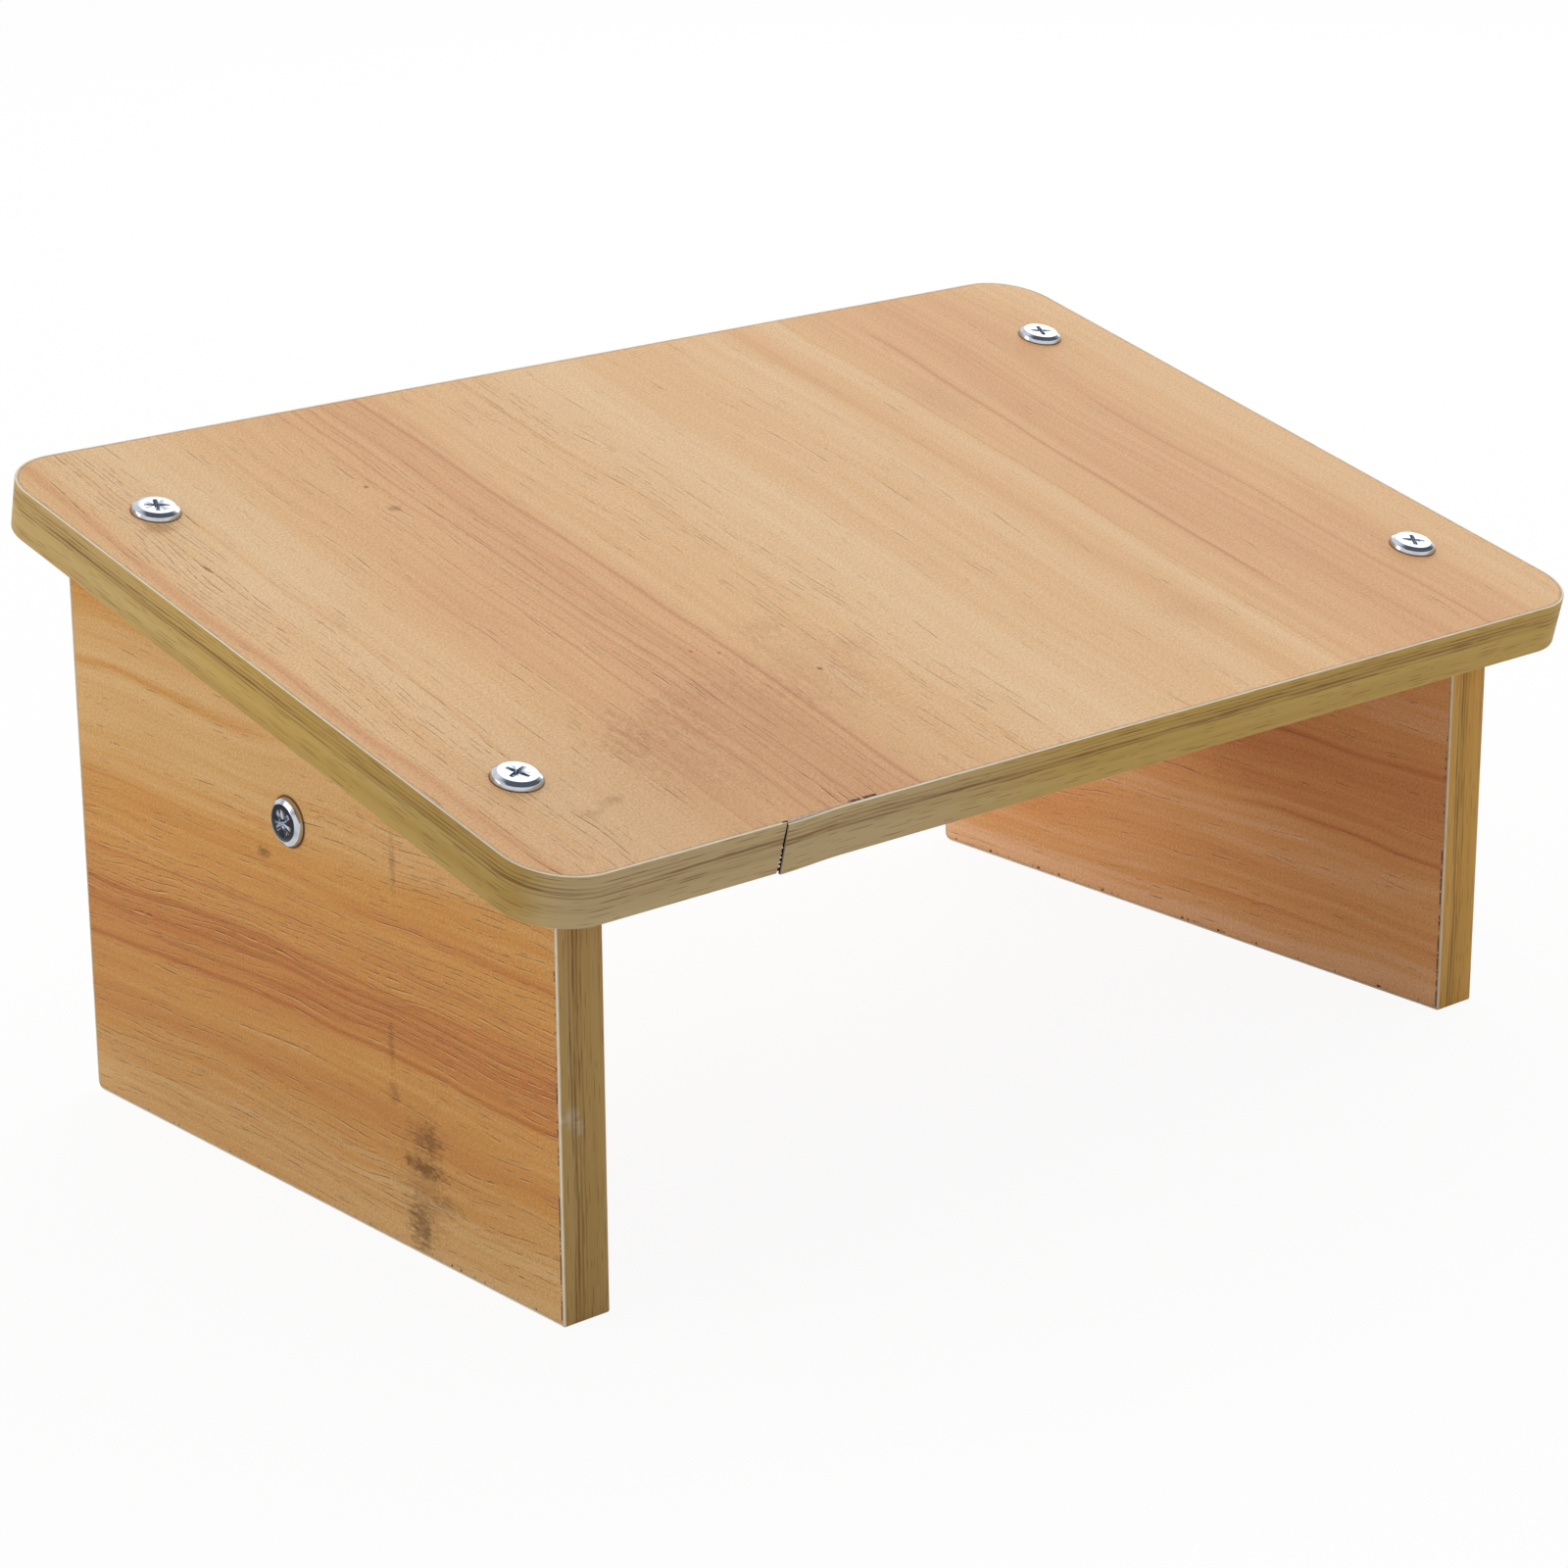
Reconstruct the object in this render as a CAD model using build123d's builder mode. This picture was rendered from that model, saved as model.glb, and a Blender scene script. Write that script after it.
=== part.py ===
from build123d import *
import math
import os

# Sloping footrest: a banded top board bolted onto two upright side panels, tied by a cross rail.
# Sizes are in millimetres. Z is up, X runs along the width and the low front edge faces -Y.
# The origin is on the floor, under the middle of the whole outline.

# Top board
board_width = 400
board_depth = 260
board_thickness = 15
board_corner_radius = 19
board_tilt = 13.55
side_overhang = 20
front_overhang = 19.5
back_overhang = 10

# Side panels
panel_thickness = 15
panel_front_height = 121.5
panel_front_corner_radius = 0.8
panel_back_corner_radius = 3

# Edge bands: glued strips, with both long outer edges trimmed to a small bevel
band_thickness = 1
band_trim = 0.3
band_seam_inset = 78.5
band_seam_gap = 0.6

# Cross rail, hung just under the board and centred on its end bolts
rail_thickness = 15
rail_height = 70
rail_inset = 117.5
rail_top_gap = 3

# Furniture bolts: a wide bevelled head with a cross recess
bolt_diameter = 6
bolt_length = 30
bolt_front_inset = 29
bolt_back_inset = 33.5
bolt_hole_clearance = 0.25
head_diameter = 14
head_flat_diameter = 10.8
head_height = 2.2
head_rim_height = 1.4
recess_span = 7
recess_width = 1.8
recess_depth = 1.9
recess_floor_span = 3.4
bolt_turns = {
    "front_left": 23,
    "front_right": 55,
    "back_left": 65,
    "back_right": 65,
    "left_rail": 40,
    "right_rail": 40,
}

# Threaded sleeves that take the bolts
insert_diameter = 9
insert_length = 15
insert_clearance = 0.05
thread_clearance = 0.05
bore_spare = 4

# Fluted dowels that keep the rail from turning, with a wall of board left behind their bores
dowel_diameter = 8
dowel_length = 30
dowel_wall = 5
dowel_edge_distance = 13
dowel_end_chamfer = 0.8
dowel_clearance = 0.1
dowel_end_gap = 0.5
flute_count = 14
flute_depth = 0.35

# Slope of the board and where it puts the panels
tilt = math.radians(board_tilt)
reach_front = board_depth / 2 - front_overhang
reach_back = board_depth / 2 - back_overhang
board_y = board_thickness * math.sin(tilt) / 2
board_z = panel_front_height + reach_front * math.sin(tilt)
panel_front_y = board_y - reach_front * math.cos(tilt)
panel_back_y = board_y + reach_back * math.cos(tilt)
panel_outer_x = board_width / 2 - side_overhang
panel_inner_x = panel_outer_x - panel_thickness

# Largest rounding of a square banded corner that still clears the sharp corner of the core inside it
corner_limit = band_thickness / (1 - math.sqrt(0.5))

# Centre of the board's underside, with local Y running up the slope
board_plane = Plane(
    origin=(0, board_y, board_z),
    x_dir=(1, 0, 0),
    z_dir=(0, -math.sin(tilt), math.cos(tilt)),
)


def underside(y):
    """Height of the board's underside at a given depth."""
    return board_z + (y - board_y) * math.tan(tilt)


# Rail place
rail_y = panel_front_y + rail_inset
rail_top = underside(rail_y - rail_thickness / 2) - rail_top_gap
rail_bottom = rail_top - rail_height
rail_bolt_z = rail_top - rail_height / 2
dowel_z = rail_bottom + dowel_edge_distance

# Bolt places on the board, and the bores that the bolts and sleeves need
bolt_x = (panel_inner_x + panel_outer_x) / 2
bolt_rows = {"front": bolt_front_inset - reach_front, "back": reach_back - bolt_back_inset}
sides = {"left": -1, "right": 1}
bolt_hole_radius = bolt_diameter / 2 + bolt_hole_clearance
insert_bore_radius = insert_diameter / 2 + insert_clearance
panel_bore_depth = max(insert_length, bolt_length - board_thickness) + bore_spare
rail_bore_depth = max(insert_length, bolt_length - panel_thickness) + bore_spare
dowel_bore_radius = dowel_diameter / 2 + dowel_clearance
dowel_panel_bore = panel_thickness - dowel_wall
dowel_panel_reach = dowel_panel_bore - dowel_end_gap
dowel_rail_bore = dowel_length - dowel_panel_reach + dowel_end_gap


def side_plane(direction, x, z):
    """Plane that faces outwards through a side panel, at the rail's depth and a given height."""
    return Plane(origin=(direction * x, rail_y, z), x_dir=(0, direction, 0), z_dir=(direction, 0, 0))


def panel_corners(inset):
    """Side outline of a panel, drawn in by the inset at the front, bottom and back."""
    front = panel_front_y + inset
    back = panel_back_y - inset
    return [(front, inset), (back, inset), (back, underside(back)), (front, underside(front))]


def save(builder, name):
    """Label a finished piece and write it to its own file."""
    builder.part.label = name
    export_step(builder.part, f"parts/{name}.step")


os.makedirs("parts", exist_ok=True)

# Top board, without its band
core_width = board_width - 2 * band_thickness
core_depth = board_depth - 2 * band_thickness
core_corner_radius = board_corner_radius - band_thickness
with BuildPart() as top_board:
    with BuildSketch(board_plane):
        RectangleRounded(core_width, core_depth, core_corner_radius)
    extrude(amount=board_thickness)
    with Locations(board_plane.offset(board_thickness)):
        with Locations(*[(sign * bolt_x, row) for sign in sides.values() for row in bolt_rows.values()]):
            Hole(bolt_hole_radius, depth=board_thickness)
save(top_board, "top_board")

# Top band: one strip round the board, butted in front near the left corner
seam_x = band_seam_inset - board_width / 2
with BuildPart() as top_edge_band:
    with BuildSketch(board_plane):
        RectangleRounded(board_width, board_depth, board_corner_radius)
    extrude(amount=board_thickness)
    chamfer(top_edge_band.faces().filter_by(board_plane).edges(), band_trim)
    with BuildSketch(board_plane):
        RectangleRounded(core_width, core_depth, core_corner_radius)
        with Locations((seam_x, (band_thickness - board_depth) / 2)):
            Rectangle(band_seam_gap, band_thickness)
    extrude(amount=board_thickness, mode=Mode.SUBTRACT)
save(top_edge_band, "top_edge_band")

# Side panels, each with a strip on its front, bottom and back edges
for side, direction in sides.items():
    near_x = min(direction * panel_inner_x, direction * panel_outer_x)
    panel_plane = Plane.YZ.offset(near_x)

    with BuildPart() as side_panel:
        with BuildSketch(panel_plane):
            with BuildLine():
                Polyline(*panel_corners(band_thickness), close=True)
            make_face()
        extrude(amount=panel_thickness)
        with Locations(board_plane):
            with Locations(*[(direction * bolt_x, row) for row in bolt_rows.values()]):
                Hole(insert_bore_radius, depth=panel_bore_depth)
        with Locations(side_plane(direction, panel_outer_x, rail_bolt_z)):
            Hole(bolt_hole_radius, depth=panel_thickness)
        with Locations(-side_plane(direction, panel_inner_x, dowel_z)):
            Hole(dowel_bore_radius, depth=dowel_panel_bore)
    save(side_panel, f"{side}_side_panel")

    with BuildPart() as banding:
        with BuildSketch(panel_plane) as outline:
            with BuildLine():
                Polyline(*panel_corners(0), close=True)
            make_face()
            front_foot = outline.vertices().group_by(Axis.Y)[0].sort_by(Axis.X)[0]
            fillet(front_foot, min(panel_front_corner_radius, corner_limit))
            back_foot = outline.vertices().group_by(Axis.Y)[0].sort_by(Axis.X)[-1]
            fillet(back_foot, min(panel_back_corner_radius, corner_limit))
        extrude(amount=panel_thickness)
        for face in banding.faces().filter_by(Axis.X):
            chamfer(face.edges().sort_by(Axis.Z)[:-1], band_trim)
        with BuildSketch(panel_plane):
            with BuildLine():
                Polyline(*panel_corners(band_thickness), close=True)
            make_face()
        extrude(amount=panel_thickness, mode=Mode.SUBTRACT)

    front_cut = Plane.XZ.offset(-panel_front_y - band_thickness)
    back_cut = Plane.XZ.offset(band_thickness - panel_back_y)

    with BuildPart() as front_band:
        add(banding.part)
        split(bisect_by=front_cut, keep=Keep.TOP)
    save(front_band, f"{side}_front_band")

    with BuildPart() as bottom_band:
        add(banding.part)
        split(bisect_by=front_cut, keep=Keep.BOTTOM)
        split(bisect_by=back_cut, keep=Keep.TOP)
    save(bottom_band, f"{side}_bottom_band")

    with BuildPart() as back_band:
        add(banding.part)
        split(bisect_by=back_cut, keep=Keep.BOTTOM)
    save(back_band, f"{side}_back_band")

# Cross rail between the panels, with strips on its long edges
rail_length = 2 * panel_inner_x
rail_middle = Location((0, rail_y, rail_bolt_z))
with BuildPart() as cross_rail:
    with Locations(rail_middle):
        Box(rail_length, rail_thickness, rail_height - 2 * band_thickness)
    for direction in sides.values():
        with Locations(side_plane(direction, panel_inner_x, rail_bolt_z)):
            Hole(insert_bore_radius, depth=rail_bore_depth)
        with Locations(side_plane(direction, panel_inner_x, dowel_z)):
            Hole(dowel_bore_radius, depth=dowel_rail_bore)
save(cross_rail, "cross_rail")

rail_bands = {
    "rail_upper_band": (rail_top - band_thickness / 2, -1),
    "rail_lower_band": (rail_bottom + band_thickness / 2, 0),
}
for name, (band_z, outer_face) in rail_bands.items():
    with BuildPart() as rail_band:
        with Locations((0, rail_y, band_z)):
            Box(rail_length, rail_thickness, band_thickness)
        chamfer(rail_band.faces().sort_by(Axis.Z)[outer_face].edges().filter_by(Axis.X), band_trim)
    save(rail_band, name)

# Bolt, standing on its seat, with two crossed slots that narrow to the recess floor
shank_radius = bolt_diameter / 2
head_radius = head_diameter / 2
with BuildPart() as bolt:
    with BuildSketch(Plane.XZ):
        with BuildLine():
            Polyline(
                (0, -bolt_length),
                (shank_radius, -bolt_length),
                (shank_radius, 0),
                (head_radius, 0),
                (head_radius, head_rim_height),
                (head_flat_diameter / 2, head_height),
                (0, head_height),
                close=True,
            )
        make_face()
    revolve(axis=Axis.Z)
    for slot_plane in (Plane.XZ, Plane.YZ):
        with BuildSketch(slot_plane):
            with BuildLine():
                Polyline(
                    (-recess_span / 2, head_height),
                    (-recess_floor_span / 2, head_height - recess_depth),
                    (recess_floor_span / 2, head_height - recess_depth),
                    (recess_span / 2, head_height),
                    close=True,
                )
            make_face()
        extrude(amount=recess_width / 2, both=True, mode=Mode.SUBTRACT)

# Threaded sleeve, flush with the edge that it is set into
thread_radius = shank_radius + thread_clearance
with BuildPart() as insert:
    with BuildSketch(Plane.XY):
        Circle(insert_diameter / 2)
        Circle(thread_radius, mode=Mode.SUBTRACT)
    extrude(amount=-insert_length)

# Fluted dowel, reaching up into the panel and down into the rail, with drawn-in ends
dowel_radius = dowel_diameter / 2
groove_share = 1 - flute_depth / dowel_radius
end_radius = dowel_radius - dowel_end_chamfer
dowel_foot = dowel_panel_reach - dowel_length
dowel_sections = [
    (dowel_foot, end_radius),
    (dowel_foot + dowel_end_chamfer, dowel_radius),
    (dowel_panel_reach - dowel_end_chamfer, dowel_radius),
    (dowel_panel_reach, end_radius),
]
with BuildPart() as dowel:
    for height, radius in dowel_sections:
        with BuildSketch(Plane.XY.offset(height)):
            with BuildLine():
                ridges = PolarLocations(radius, flute_count)
                grooves = PolarLocations(radius * groove_share, flute_count, start_angle=180 / flute_count)
                corners = [spot.position for pair in zip(ridges, grooves) for spot in pair]
                Polyline(*corners, close=True)
            make_face()
    loft(ruled=True)

# Seats of the fasteners, each facing out of the board that it goes into
bolt_seats = {}
insert_seats = {}
dowel_seats = {}
for side, direction in sides.items():
    for row, row_y in bolt_rows.items():
        spot = Pos(direction * bolt_x, row_y)
        bolt_seats[f"{row}_{side}"] = board_plane.offset(board_thickness) * spot
        insert_seats[f"{row}_{side}"] = board_plane * spot
    bolt_seats[f"{side}_rail"] = side_plane(direction, panel_outer_x, rail_bolt_z).location
    insert_seats[f"{side}_rail"] = side_plane(direction, panel_inner_x, rail_bolt_z).location
    dowel_seats[side] = side_plane(direction, panel_inner_x, dowel_z).location

for place, seat in bolt_seats.items():
    with BuildPart() as seated_bolt:
        with Locations(seat * Rot(0, 0, bolt_turns[place])):
            add(bolt.part)
    save(seated_bolt, f"{place}_bolt")

for place, seat in insert_seats.items():
    with BuildPart() as seated_insert:
        with Locations(seat):
            add(insert.part)
    save(seated_insert, f"{place}_insert")

for place, seat in dowel_seats.items():
    with BuildPart() as seated_dowel:
        with Locations(seat):
            add(dowel.part)
    save(seated_dowel, f"{place}_dowel")
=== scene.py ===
"""Dress a sloping footrest: printed board faces, a wrapped edge band, plated bolts and a studio."""

import functools
import math
import operator
from typing import NamedTuple

import bpy
import numpy as np
from bpy.props import FloatProperty, FloatVectorProperty, PointerProperty
from bpy.types import Operator, Panel, PropertyGroup
from mathutils import Matrix, Vector


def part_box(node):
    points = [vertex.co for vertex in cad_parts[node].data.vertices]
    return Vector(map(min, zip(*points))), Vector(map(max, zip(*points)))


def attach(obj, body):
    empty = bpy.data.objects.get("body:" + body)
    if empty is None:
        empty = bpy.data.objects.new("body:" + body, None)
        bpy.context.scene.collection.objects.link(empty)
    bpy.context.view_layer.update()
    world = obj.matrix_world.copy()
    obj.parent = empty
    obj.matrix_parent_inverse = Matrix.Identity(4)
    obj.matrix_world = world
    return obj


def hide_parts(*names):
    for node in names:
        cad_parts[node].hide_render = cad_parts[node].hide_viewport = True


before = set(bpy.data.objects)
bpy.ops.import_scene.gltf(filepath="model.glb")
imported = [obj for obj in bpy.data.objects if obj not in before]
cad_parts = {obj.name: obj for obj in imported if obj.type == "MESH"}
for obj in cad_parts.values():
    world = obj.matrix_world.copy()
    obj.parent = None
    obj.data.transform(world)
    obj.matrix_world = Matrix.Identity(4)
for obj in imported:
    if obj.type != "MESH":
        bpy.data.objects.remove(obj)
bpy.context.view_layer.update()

bl_info = {
    "name": "Sloping Footrest",
    "version": (1, 0, 0),
    "blender": (4, 5, 0),
    "location": "View3D > Sidebar > Footrest",
    "description": "Dresses a footrest of faced board and sets up a plain studio for it",
    "category": "Object",
}

MM = 0.001
# How finely the surfaces are divided.
ARC_STEPS = 28
DROP_STEPS = 24
AROUND_STEPS = 144
ROUND_STEPS = 5
THREAD_RINGS = 150
BEAD_RINGS = 9
BEAD_AROUND = 12

# Directions of the frame.
ACROSS = (1, 0, 0)
BACK = (0, 1, 0)
UP = (0, 0, 1)

# How far each bolt head is turned about its axis, in degrees.
BOLT_TURNS = {
    "front_left": 23,
    "front_right": 55,
    "back_left": 65,
    "back_right": 65,
    "left_rail": 40,
    "right_rail": 40,
}
# Beads of glue in the seam: height over the board's underside and radius, in millimetres.
GLUE_BEADS = ((7.6, 0.26), (5.9, 0.18), (4.7, 0.28), (3.3, 0.28), (2.1, 0.3))


class Streak(NamedTuple):
    """A stripe of the printed grain, in millimetres: a positive tone is paler, a negative one redder."""

    place: float
    width: float
    tone: float
    start: float = -900.0
    end: float = 900.0


class Smudge(NamedTuple):
    """A faint mark, in millimetres of the print: its middle, half sizes, strength and ragged edge."""

    across: float
    along: float
    wide: float
    tall: float
    strength: float
    ragged: float = 1.5


TOP_STREAKS = (
    Streak(-193, 2.6, -0.9),
    Streak(-165, 1.0, -0.6, -70, 90),
    Streak(-166, 18, 0.5),
    Streak(-128, 9, -0.3),
    Streak(-92, 24, -0.66),
    Streak(-8, 30, 0.7),
    Streak(60, 7, 0.4),
    Streak(76, 5, -0.35),
    Streak(90, 4, 0.6),
    Streak(136, 38, -0.45),
    Streak(165, 20, -0.2, -900, -40),
    Streak(-150, 40, 0.3, 20, 900),
    Streak(190, 12, 0.5),
    Streak(-132, 0.6, -0.5, -140, 30),
    Streak(-114, 0.6, -0.8, -900, 60),
    Streak(-108, 0.4, -0.5, -900, 30),
    Streak(-103, 0.4, -0.5),
    Streak(-98, 0.5, -0.8),
    Streak(-93, 0.4, -0.6, -80, 140),
    Streak(-88, 0.5, -0.6),
    Streak(-84, 0.4, -0.6, -140, 70),
    Streak(-79, 0.4, -0.6),
    Streak(-75, 0.9, -1.0),
    Streak(-35, 1.5, -0.4),
    Streak(95, 0.6, -0.6),
    Streak(115, 0.9, -1.0, -75, 110),
    Streak(137, 0.5, -0.5, -20, 140),
    Streak(155, 0.6, -0.7, -140, 40),
)
LEFT_STREAKS = (
    Streak(8, 14, 0.75),
    Streak(34, 5, -0.4),
    Streak(65, 14, -0.68),
    Streak(98, 6, -0.15, 8, 900),
    Streak(56, 6, -0.35, -900, 20),
    Streak(122, 16, 0.15, 40, 900),
    Streak(92, 1.4, -0.6, -900, -10),
    # Partly print, partly painted light: this pale stripe makes the face paler near its top.
    Streak(128, 20, 0.9),
    Streak(153, 6, -0.25, 80, 900),
    Streak(52, 0.8, -1.1),
    Streak(63, 0.6, -0.9),
    Streak(57, 0.6, -0.7, -60, 90),
    Streak(66, 0.8, -0.9, -110, 60),
    Streak(70, 0.6, -0.7),
    Streak(80, 0.5, -0.5, -40, 130),
    Streak(101, 0.5, -0.5, 20, 120),
    Streak(131, 2.0, -0.55, 25, 900),
)
RIGHT_STREAKS = (
    Streak(5, 5, 0.6),
    Streak(42, 6, 0.35),
    Streak(60, 14, -0.5),
    Streak(92, 9, 0.3),
    Streak(14, 0.6, -0.8, -70, 10),
    Streak(48, 0.6, -0.7, -110, -20),
    Streak(74, 1.2, -1.0),
    Streak(128, 15, 0.5),
)
RAIL_STREAKS = (
    Streak(-20, 8, 0.5),
    Streak(4, 10, -0.6),
    Streak(8, 0.7, -0.9),
    Streak(24, 6, 0.4),
)
TOP_SMUDGES = (
    Smudge(-107, 77, 0.9, 1.1, 0.9, 0.4),
    Smudge(-107.5, 62, 2.6, 2.4, 0.5, 0.7),
    Smudge(-56.5, -67, 0.9, 1.3, 0.8, 0.4),
    Smudge(-77, -48, 0.9, 0.8, 0.7, 0.4),
    Smudge(-84, -44, 0.8, 0.8, 0.6, 0.4),
    Smudge(-177, 77, 6.0, 4.5, 0.4, 0.5),
    Smudge(-157, -101, 5.0, 2.4, 0.24),
    Smudge(-165, -104, 5.0, 2.4, 0.22),
    Smudge(-134, -79, 10, 10, 0.1),
    Smudge(-117, -73, 16, 9.0, 0.08),
    Smudge(-99, -66, 18, 10, 0.07),
    Smudge(-54, -41, 11, 6.0, 0.12),
    Smudge(-39, -60, 8.0, 7.0, 0.12),
    Smudge(-95, -78, 40, 28, 0.06),
    Smudge(-60, -64, 22, 28, 0.12),
    Smudge(-128, -92, 22, 26, 0.08),
    # Partly soil, partly painted shade: darkens the top towards its front left, where less light falls.
    Smudge(-130, -120, 110, 80, 0.18, 0.3),
    Smudge(104, 62, 16, 20, 0.08),
    Smudge(70, -84, 14, 12, 0.08),
)
LEFT_SMUDGES = (
    # Painted shade: this broad mark darkens the lower part of the face.
    Smudge(20, 0, 50, 400, 0.12, 0.3),
    Smudge(20, -46, 24, 11, 0.2),
    Smudge(35, -48, 5.0, 7.0, 0.36),
    Smudge(26, -46, 2.8, 11, 0.42),
    Smudge(8, -43, 10, 6.0, 0.36),
    Smudge(18, -56, 3.0, 8.0, 0.25),
    Smudge(98.2, 24.8, 1.9, 3.8, 0.55),
    Smudge(110, -35.6, 9.0, 1.6, 0.3),
    Smudge(58, -32.5, 9.0, 1.6, 0.3),
    Smudge(44, -33, 4.0, 3.0, 0.3),
)
RIGHT_SMUDGES = (
    Smudge(80, -105.0, 3.0, 0.9, 0.8),
    Smudge(76, -104.8, 1.2, 1.2, 0.6),
    Smudge(31, -105.2, 1.6, 0.8, 0.7),
)
TOP_PORES = (
    Streak(-180, 18, 0.5),
    Streak(-138, 8, 0.2),
    Streak(-100, 26, 0.24),
    Streak(-34, 22, 0.32),
    Streak(40, 30, 0.1),
)
LEFT_PORES = (
    Streak(72, 20, 0.6),
    Streak(112, 12, 0.42, -120, 0),
    Streak(22, 18, 0.34),
    Streak(66, 26, 0.2, -120, -30),
)
RIGHT_PORES = (
    Streak(30, 30, 0.1),
)

# How each panel's print is toned on its face towards -X and on its other face: painted light, partly a real
# difference between the boards. Each face is a lit or shaded copy of one print; the right panel's inner
# face is painted lighter and pinker.
PANEL_PAINTED_LIGHT = {
    "left": ((0.85, 0.85, 0.85), (0.92, 0.92, 0.98)),
    "right": ((1.04, 1.1, 1.55), (0.85, 0.85, 0.85)),
}
# Bold strands of the strip's print: how far from the streak's middle, half width and tone.
BAND_STRANDS = ((0.0, 0.5, 0.8), (1.3, 0.32, 0.6), (-1.2, 0.32, 0.65), (2.5, 0.26, 0.45))
# How the ground of each straight strip differs from the top's strip.
BAND_TINTS = {"left": (0.88, 0.87, 1.12), "right": (1.12, 0.96, 0.84), "rail": (0.95, 0.95, 0.95)}
# Worn, greyish places on a straight strip.
BAND_SCUFFS = {"left_front_band": (Smudge(58, -4.2, 3.4, 2.8, 0.9), Smudge(55, -1.5, 2.4, 2.0, 0.7))}
# Where the bold strand runs across each kind of strip, in millimetres from its middle.
TOP_STRAND = 2.6
SIDE_STRAND = -2.4
RAIL_STRAND = 2.2

# The print's waver, the soft ends of its stripes and the distance of its carved lines, in millimetres.
SWAY = 7.0
STREAK_FADE = 14.0
GRAIN_PITCH = 1.9
# The chipped run of the top's front rim, from the seam, and how deep the chips reach in.
CHIPPED_RUN = (21.0, 31.7)
CHIP_DEPTHS = (0.9, 1.2)
# The painted shadow round a bolt head: how wide it fades, how dark it is and its gap on a panel.
SEAT_SHADOW_FADE = 0.5
SEAT_SHADOW_DARK = 0.8
PANEL_SEAT_GAP = 0.3

# How strongly faces and strips mirror, and how deep a strip's print is pressed in.
FACE_SPECULAR = 0.07
STRIP_SPECULAR = 0.1
STRIP_RELIEF = 0.03 * MM

# How much the floor glows by itself.
FLOOR_GLOW = 0.92
# How far metal sees the floor dimmed at its left back, and the stretches, in metres, where that sets in.
FLOOR_DIM = 0.95
DIM_ACROSS = (-0.36, -0.26)
DIM_BACK = (-0.05, 0.1)
# Tint of the dark room that metal mirrors.
ROOM_TINT = (0.86, 0.95, 1.1)
WHITE = (1, 1, 1)


def paint(red, green, blue):
    """The linear colour of a display colour given in steps of 0 to 255."""
    shown = np.array((red, green, blue)) / 255
    return np.where(shown <= 0.04045, shown / 12.92, ((shown + 0.055) / 1.055) ** 2.4).tolist()


def colour_property(name, description, shown):
    """A colour setting whose default is a display colour."""
    return FloatVectorProperty(
        name=name, description=description, default=paint(*shown), subtype="COLOR", min=0.0, max=1.0
    )


def length_property(name, description, millimetres):
    """A length setting whose default is given in millimetres."""
    return FloatProperty(
        name=name, description=description, default=millimetres * MM, unit="LENGTH", precision=5
    )


def share_property(name, description, share):
    """A setting between 0 and 1."""
    return FloatProperty(
        name=name, description=description, default=share, min=0.0, max=1.0, subtype="FACTOR"
    )


def amount_property(name, description, amount, unit="NONE"):
    """A setting that is never below 0."""
    return FloatProperty(name=name, description=description, default=amount, min=0.0, unit=unit)


def vector_property(name, description, parts, subtype="TRANSLATION"):
    """A place or a direction."""
    return FloatVectorProperty(name=name, description=description, default=parts, subtype=subtype)


class PrintSettings(PropertyGroup):
    """Colours of the printed board faces."""

    top_base: colour_property("Top", "Middle tone of the top's print", (226, 181, 131))
    top_pale: colour_property("Top pale", "Pale stripes of the top's print", (232, 197, 153))
    top_red: colour_property("Top red", "Reddish stripes of the top's print", (214, 159, 113))
    side_base: colour_property("Side", "Middle tone of the panels' print", (222, 162, 90))
    side_pale: colour_property("Side pale", "Pale stripes of the panels' print", (234, 190, 130))
    side_red: colour_property("Side red", "Reddish stripes of the panels' print", (206, 134, 73))
    pore: colour_property("Pores", "Short dark pores of the print", (106, 54, 16))
    raw: colour_property("Raw edge", "Bare board under the band", (238, 230, 220))
    glue: colour_property("Glue line", "Thin line between a face and its band", (128, 104, 88))
    # This colour also paints the shadows round bolt heads, the shade in the seam's gap and the shade low on
    # the left panel.
    dirt: colour_property("Dirt", "Marks and chipped edges", (76, 48, 29))
    # This colour also paints the top's broad darkening at its front left, partly soil and partly painted
    # shade.
    stain: colour_property("Stain", "Brown marks on the top", (140, 80, 36))
    roughness: share_property("Roughness", "Roughness of the satin faces", 0.42)
    emboss: length_property("Emboss", "Depth of the embossed pores and sand", 0.16)


class BandSettings(PropertyGroup):
    """Sizes and colours of the edge bands."""

    corner_radius: length_property("Corner radius", "Radius of the top's rounded corners", 19.0)
    thickness: length_property("Thickness", "Thickness of the strip", 1.0)
    trim: length_property("Trim", "Rounding of the strip's trimmed edges", 0.38)
    seam_place: length_property("Seam place", "Where the strip's two ends meet along the front", -121.5)
    seam_gap: length_property("Seam gap", "Gap between the two ends at the top", 0.8)
    seam_slant: length_property("Seam slant", "How much wider the gap is at the bottom", 0.8)
    seam_drop: length_property("Seam drop", "How far one end sits below the other", 0.75)
    drop_length: length_property("Drop length", "Run over which that end rises back", 21.0)
    olive: colour_property("Olive", "Ground of the strip's print", (195, 160, 86))
    light: colour_property("Light", "Pale fibres of the strip's print", (204, 178, 116))
    brown: colour_property("Brown", "Dark streaks of the strip's print", (120, 80, 42))
    cream: colour_property("Cream", "Plastic of the strip at its trimmed edges", (240, 224, 198))
    # This film is partly dust, partly painted sheen on the front.
    dust: colour_property("Dust", "Greyish film on the strip's front", (194, 176, 145))
    # Soil also paints the shade deep in the seam and along the front of the left run.
    soil: colour_property("Soil", "Dark dust in the seam and along the face", (56, 34, 20))
    glue: colour_property("Glue beads", "Dried glue in the seam", (236, 230, 218))
    roughness: share_property("Roughness", "Roughness of the strip", 0.5)


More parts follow.
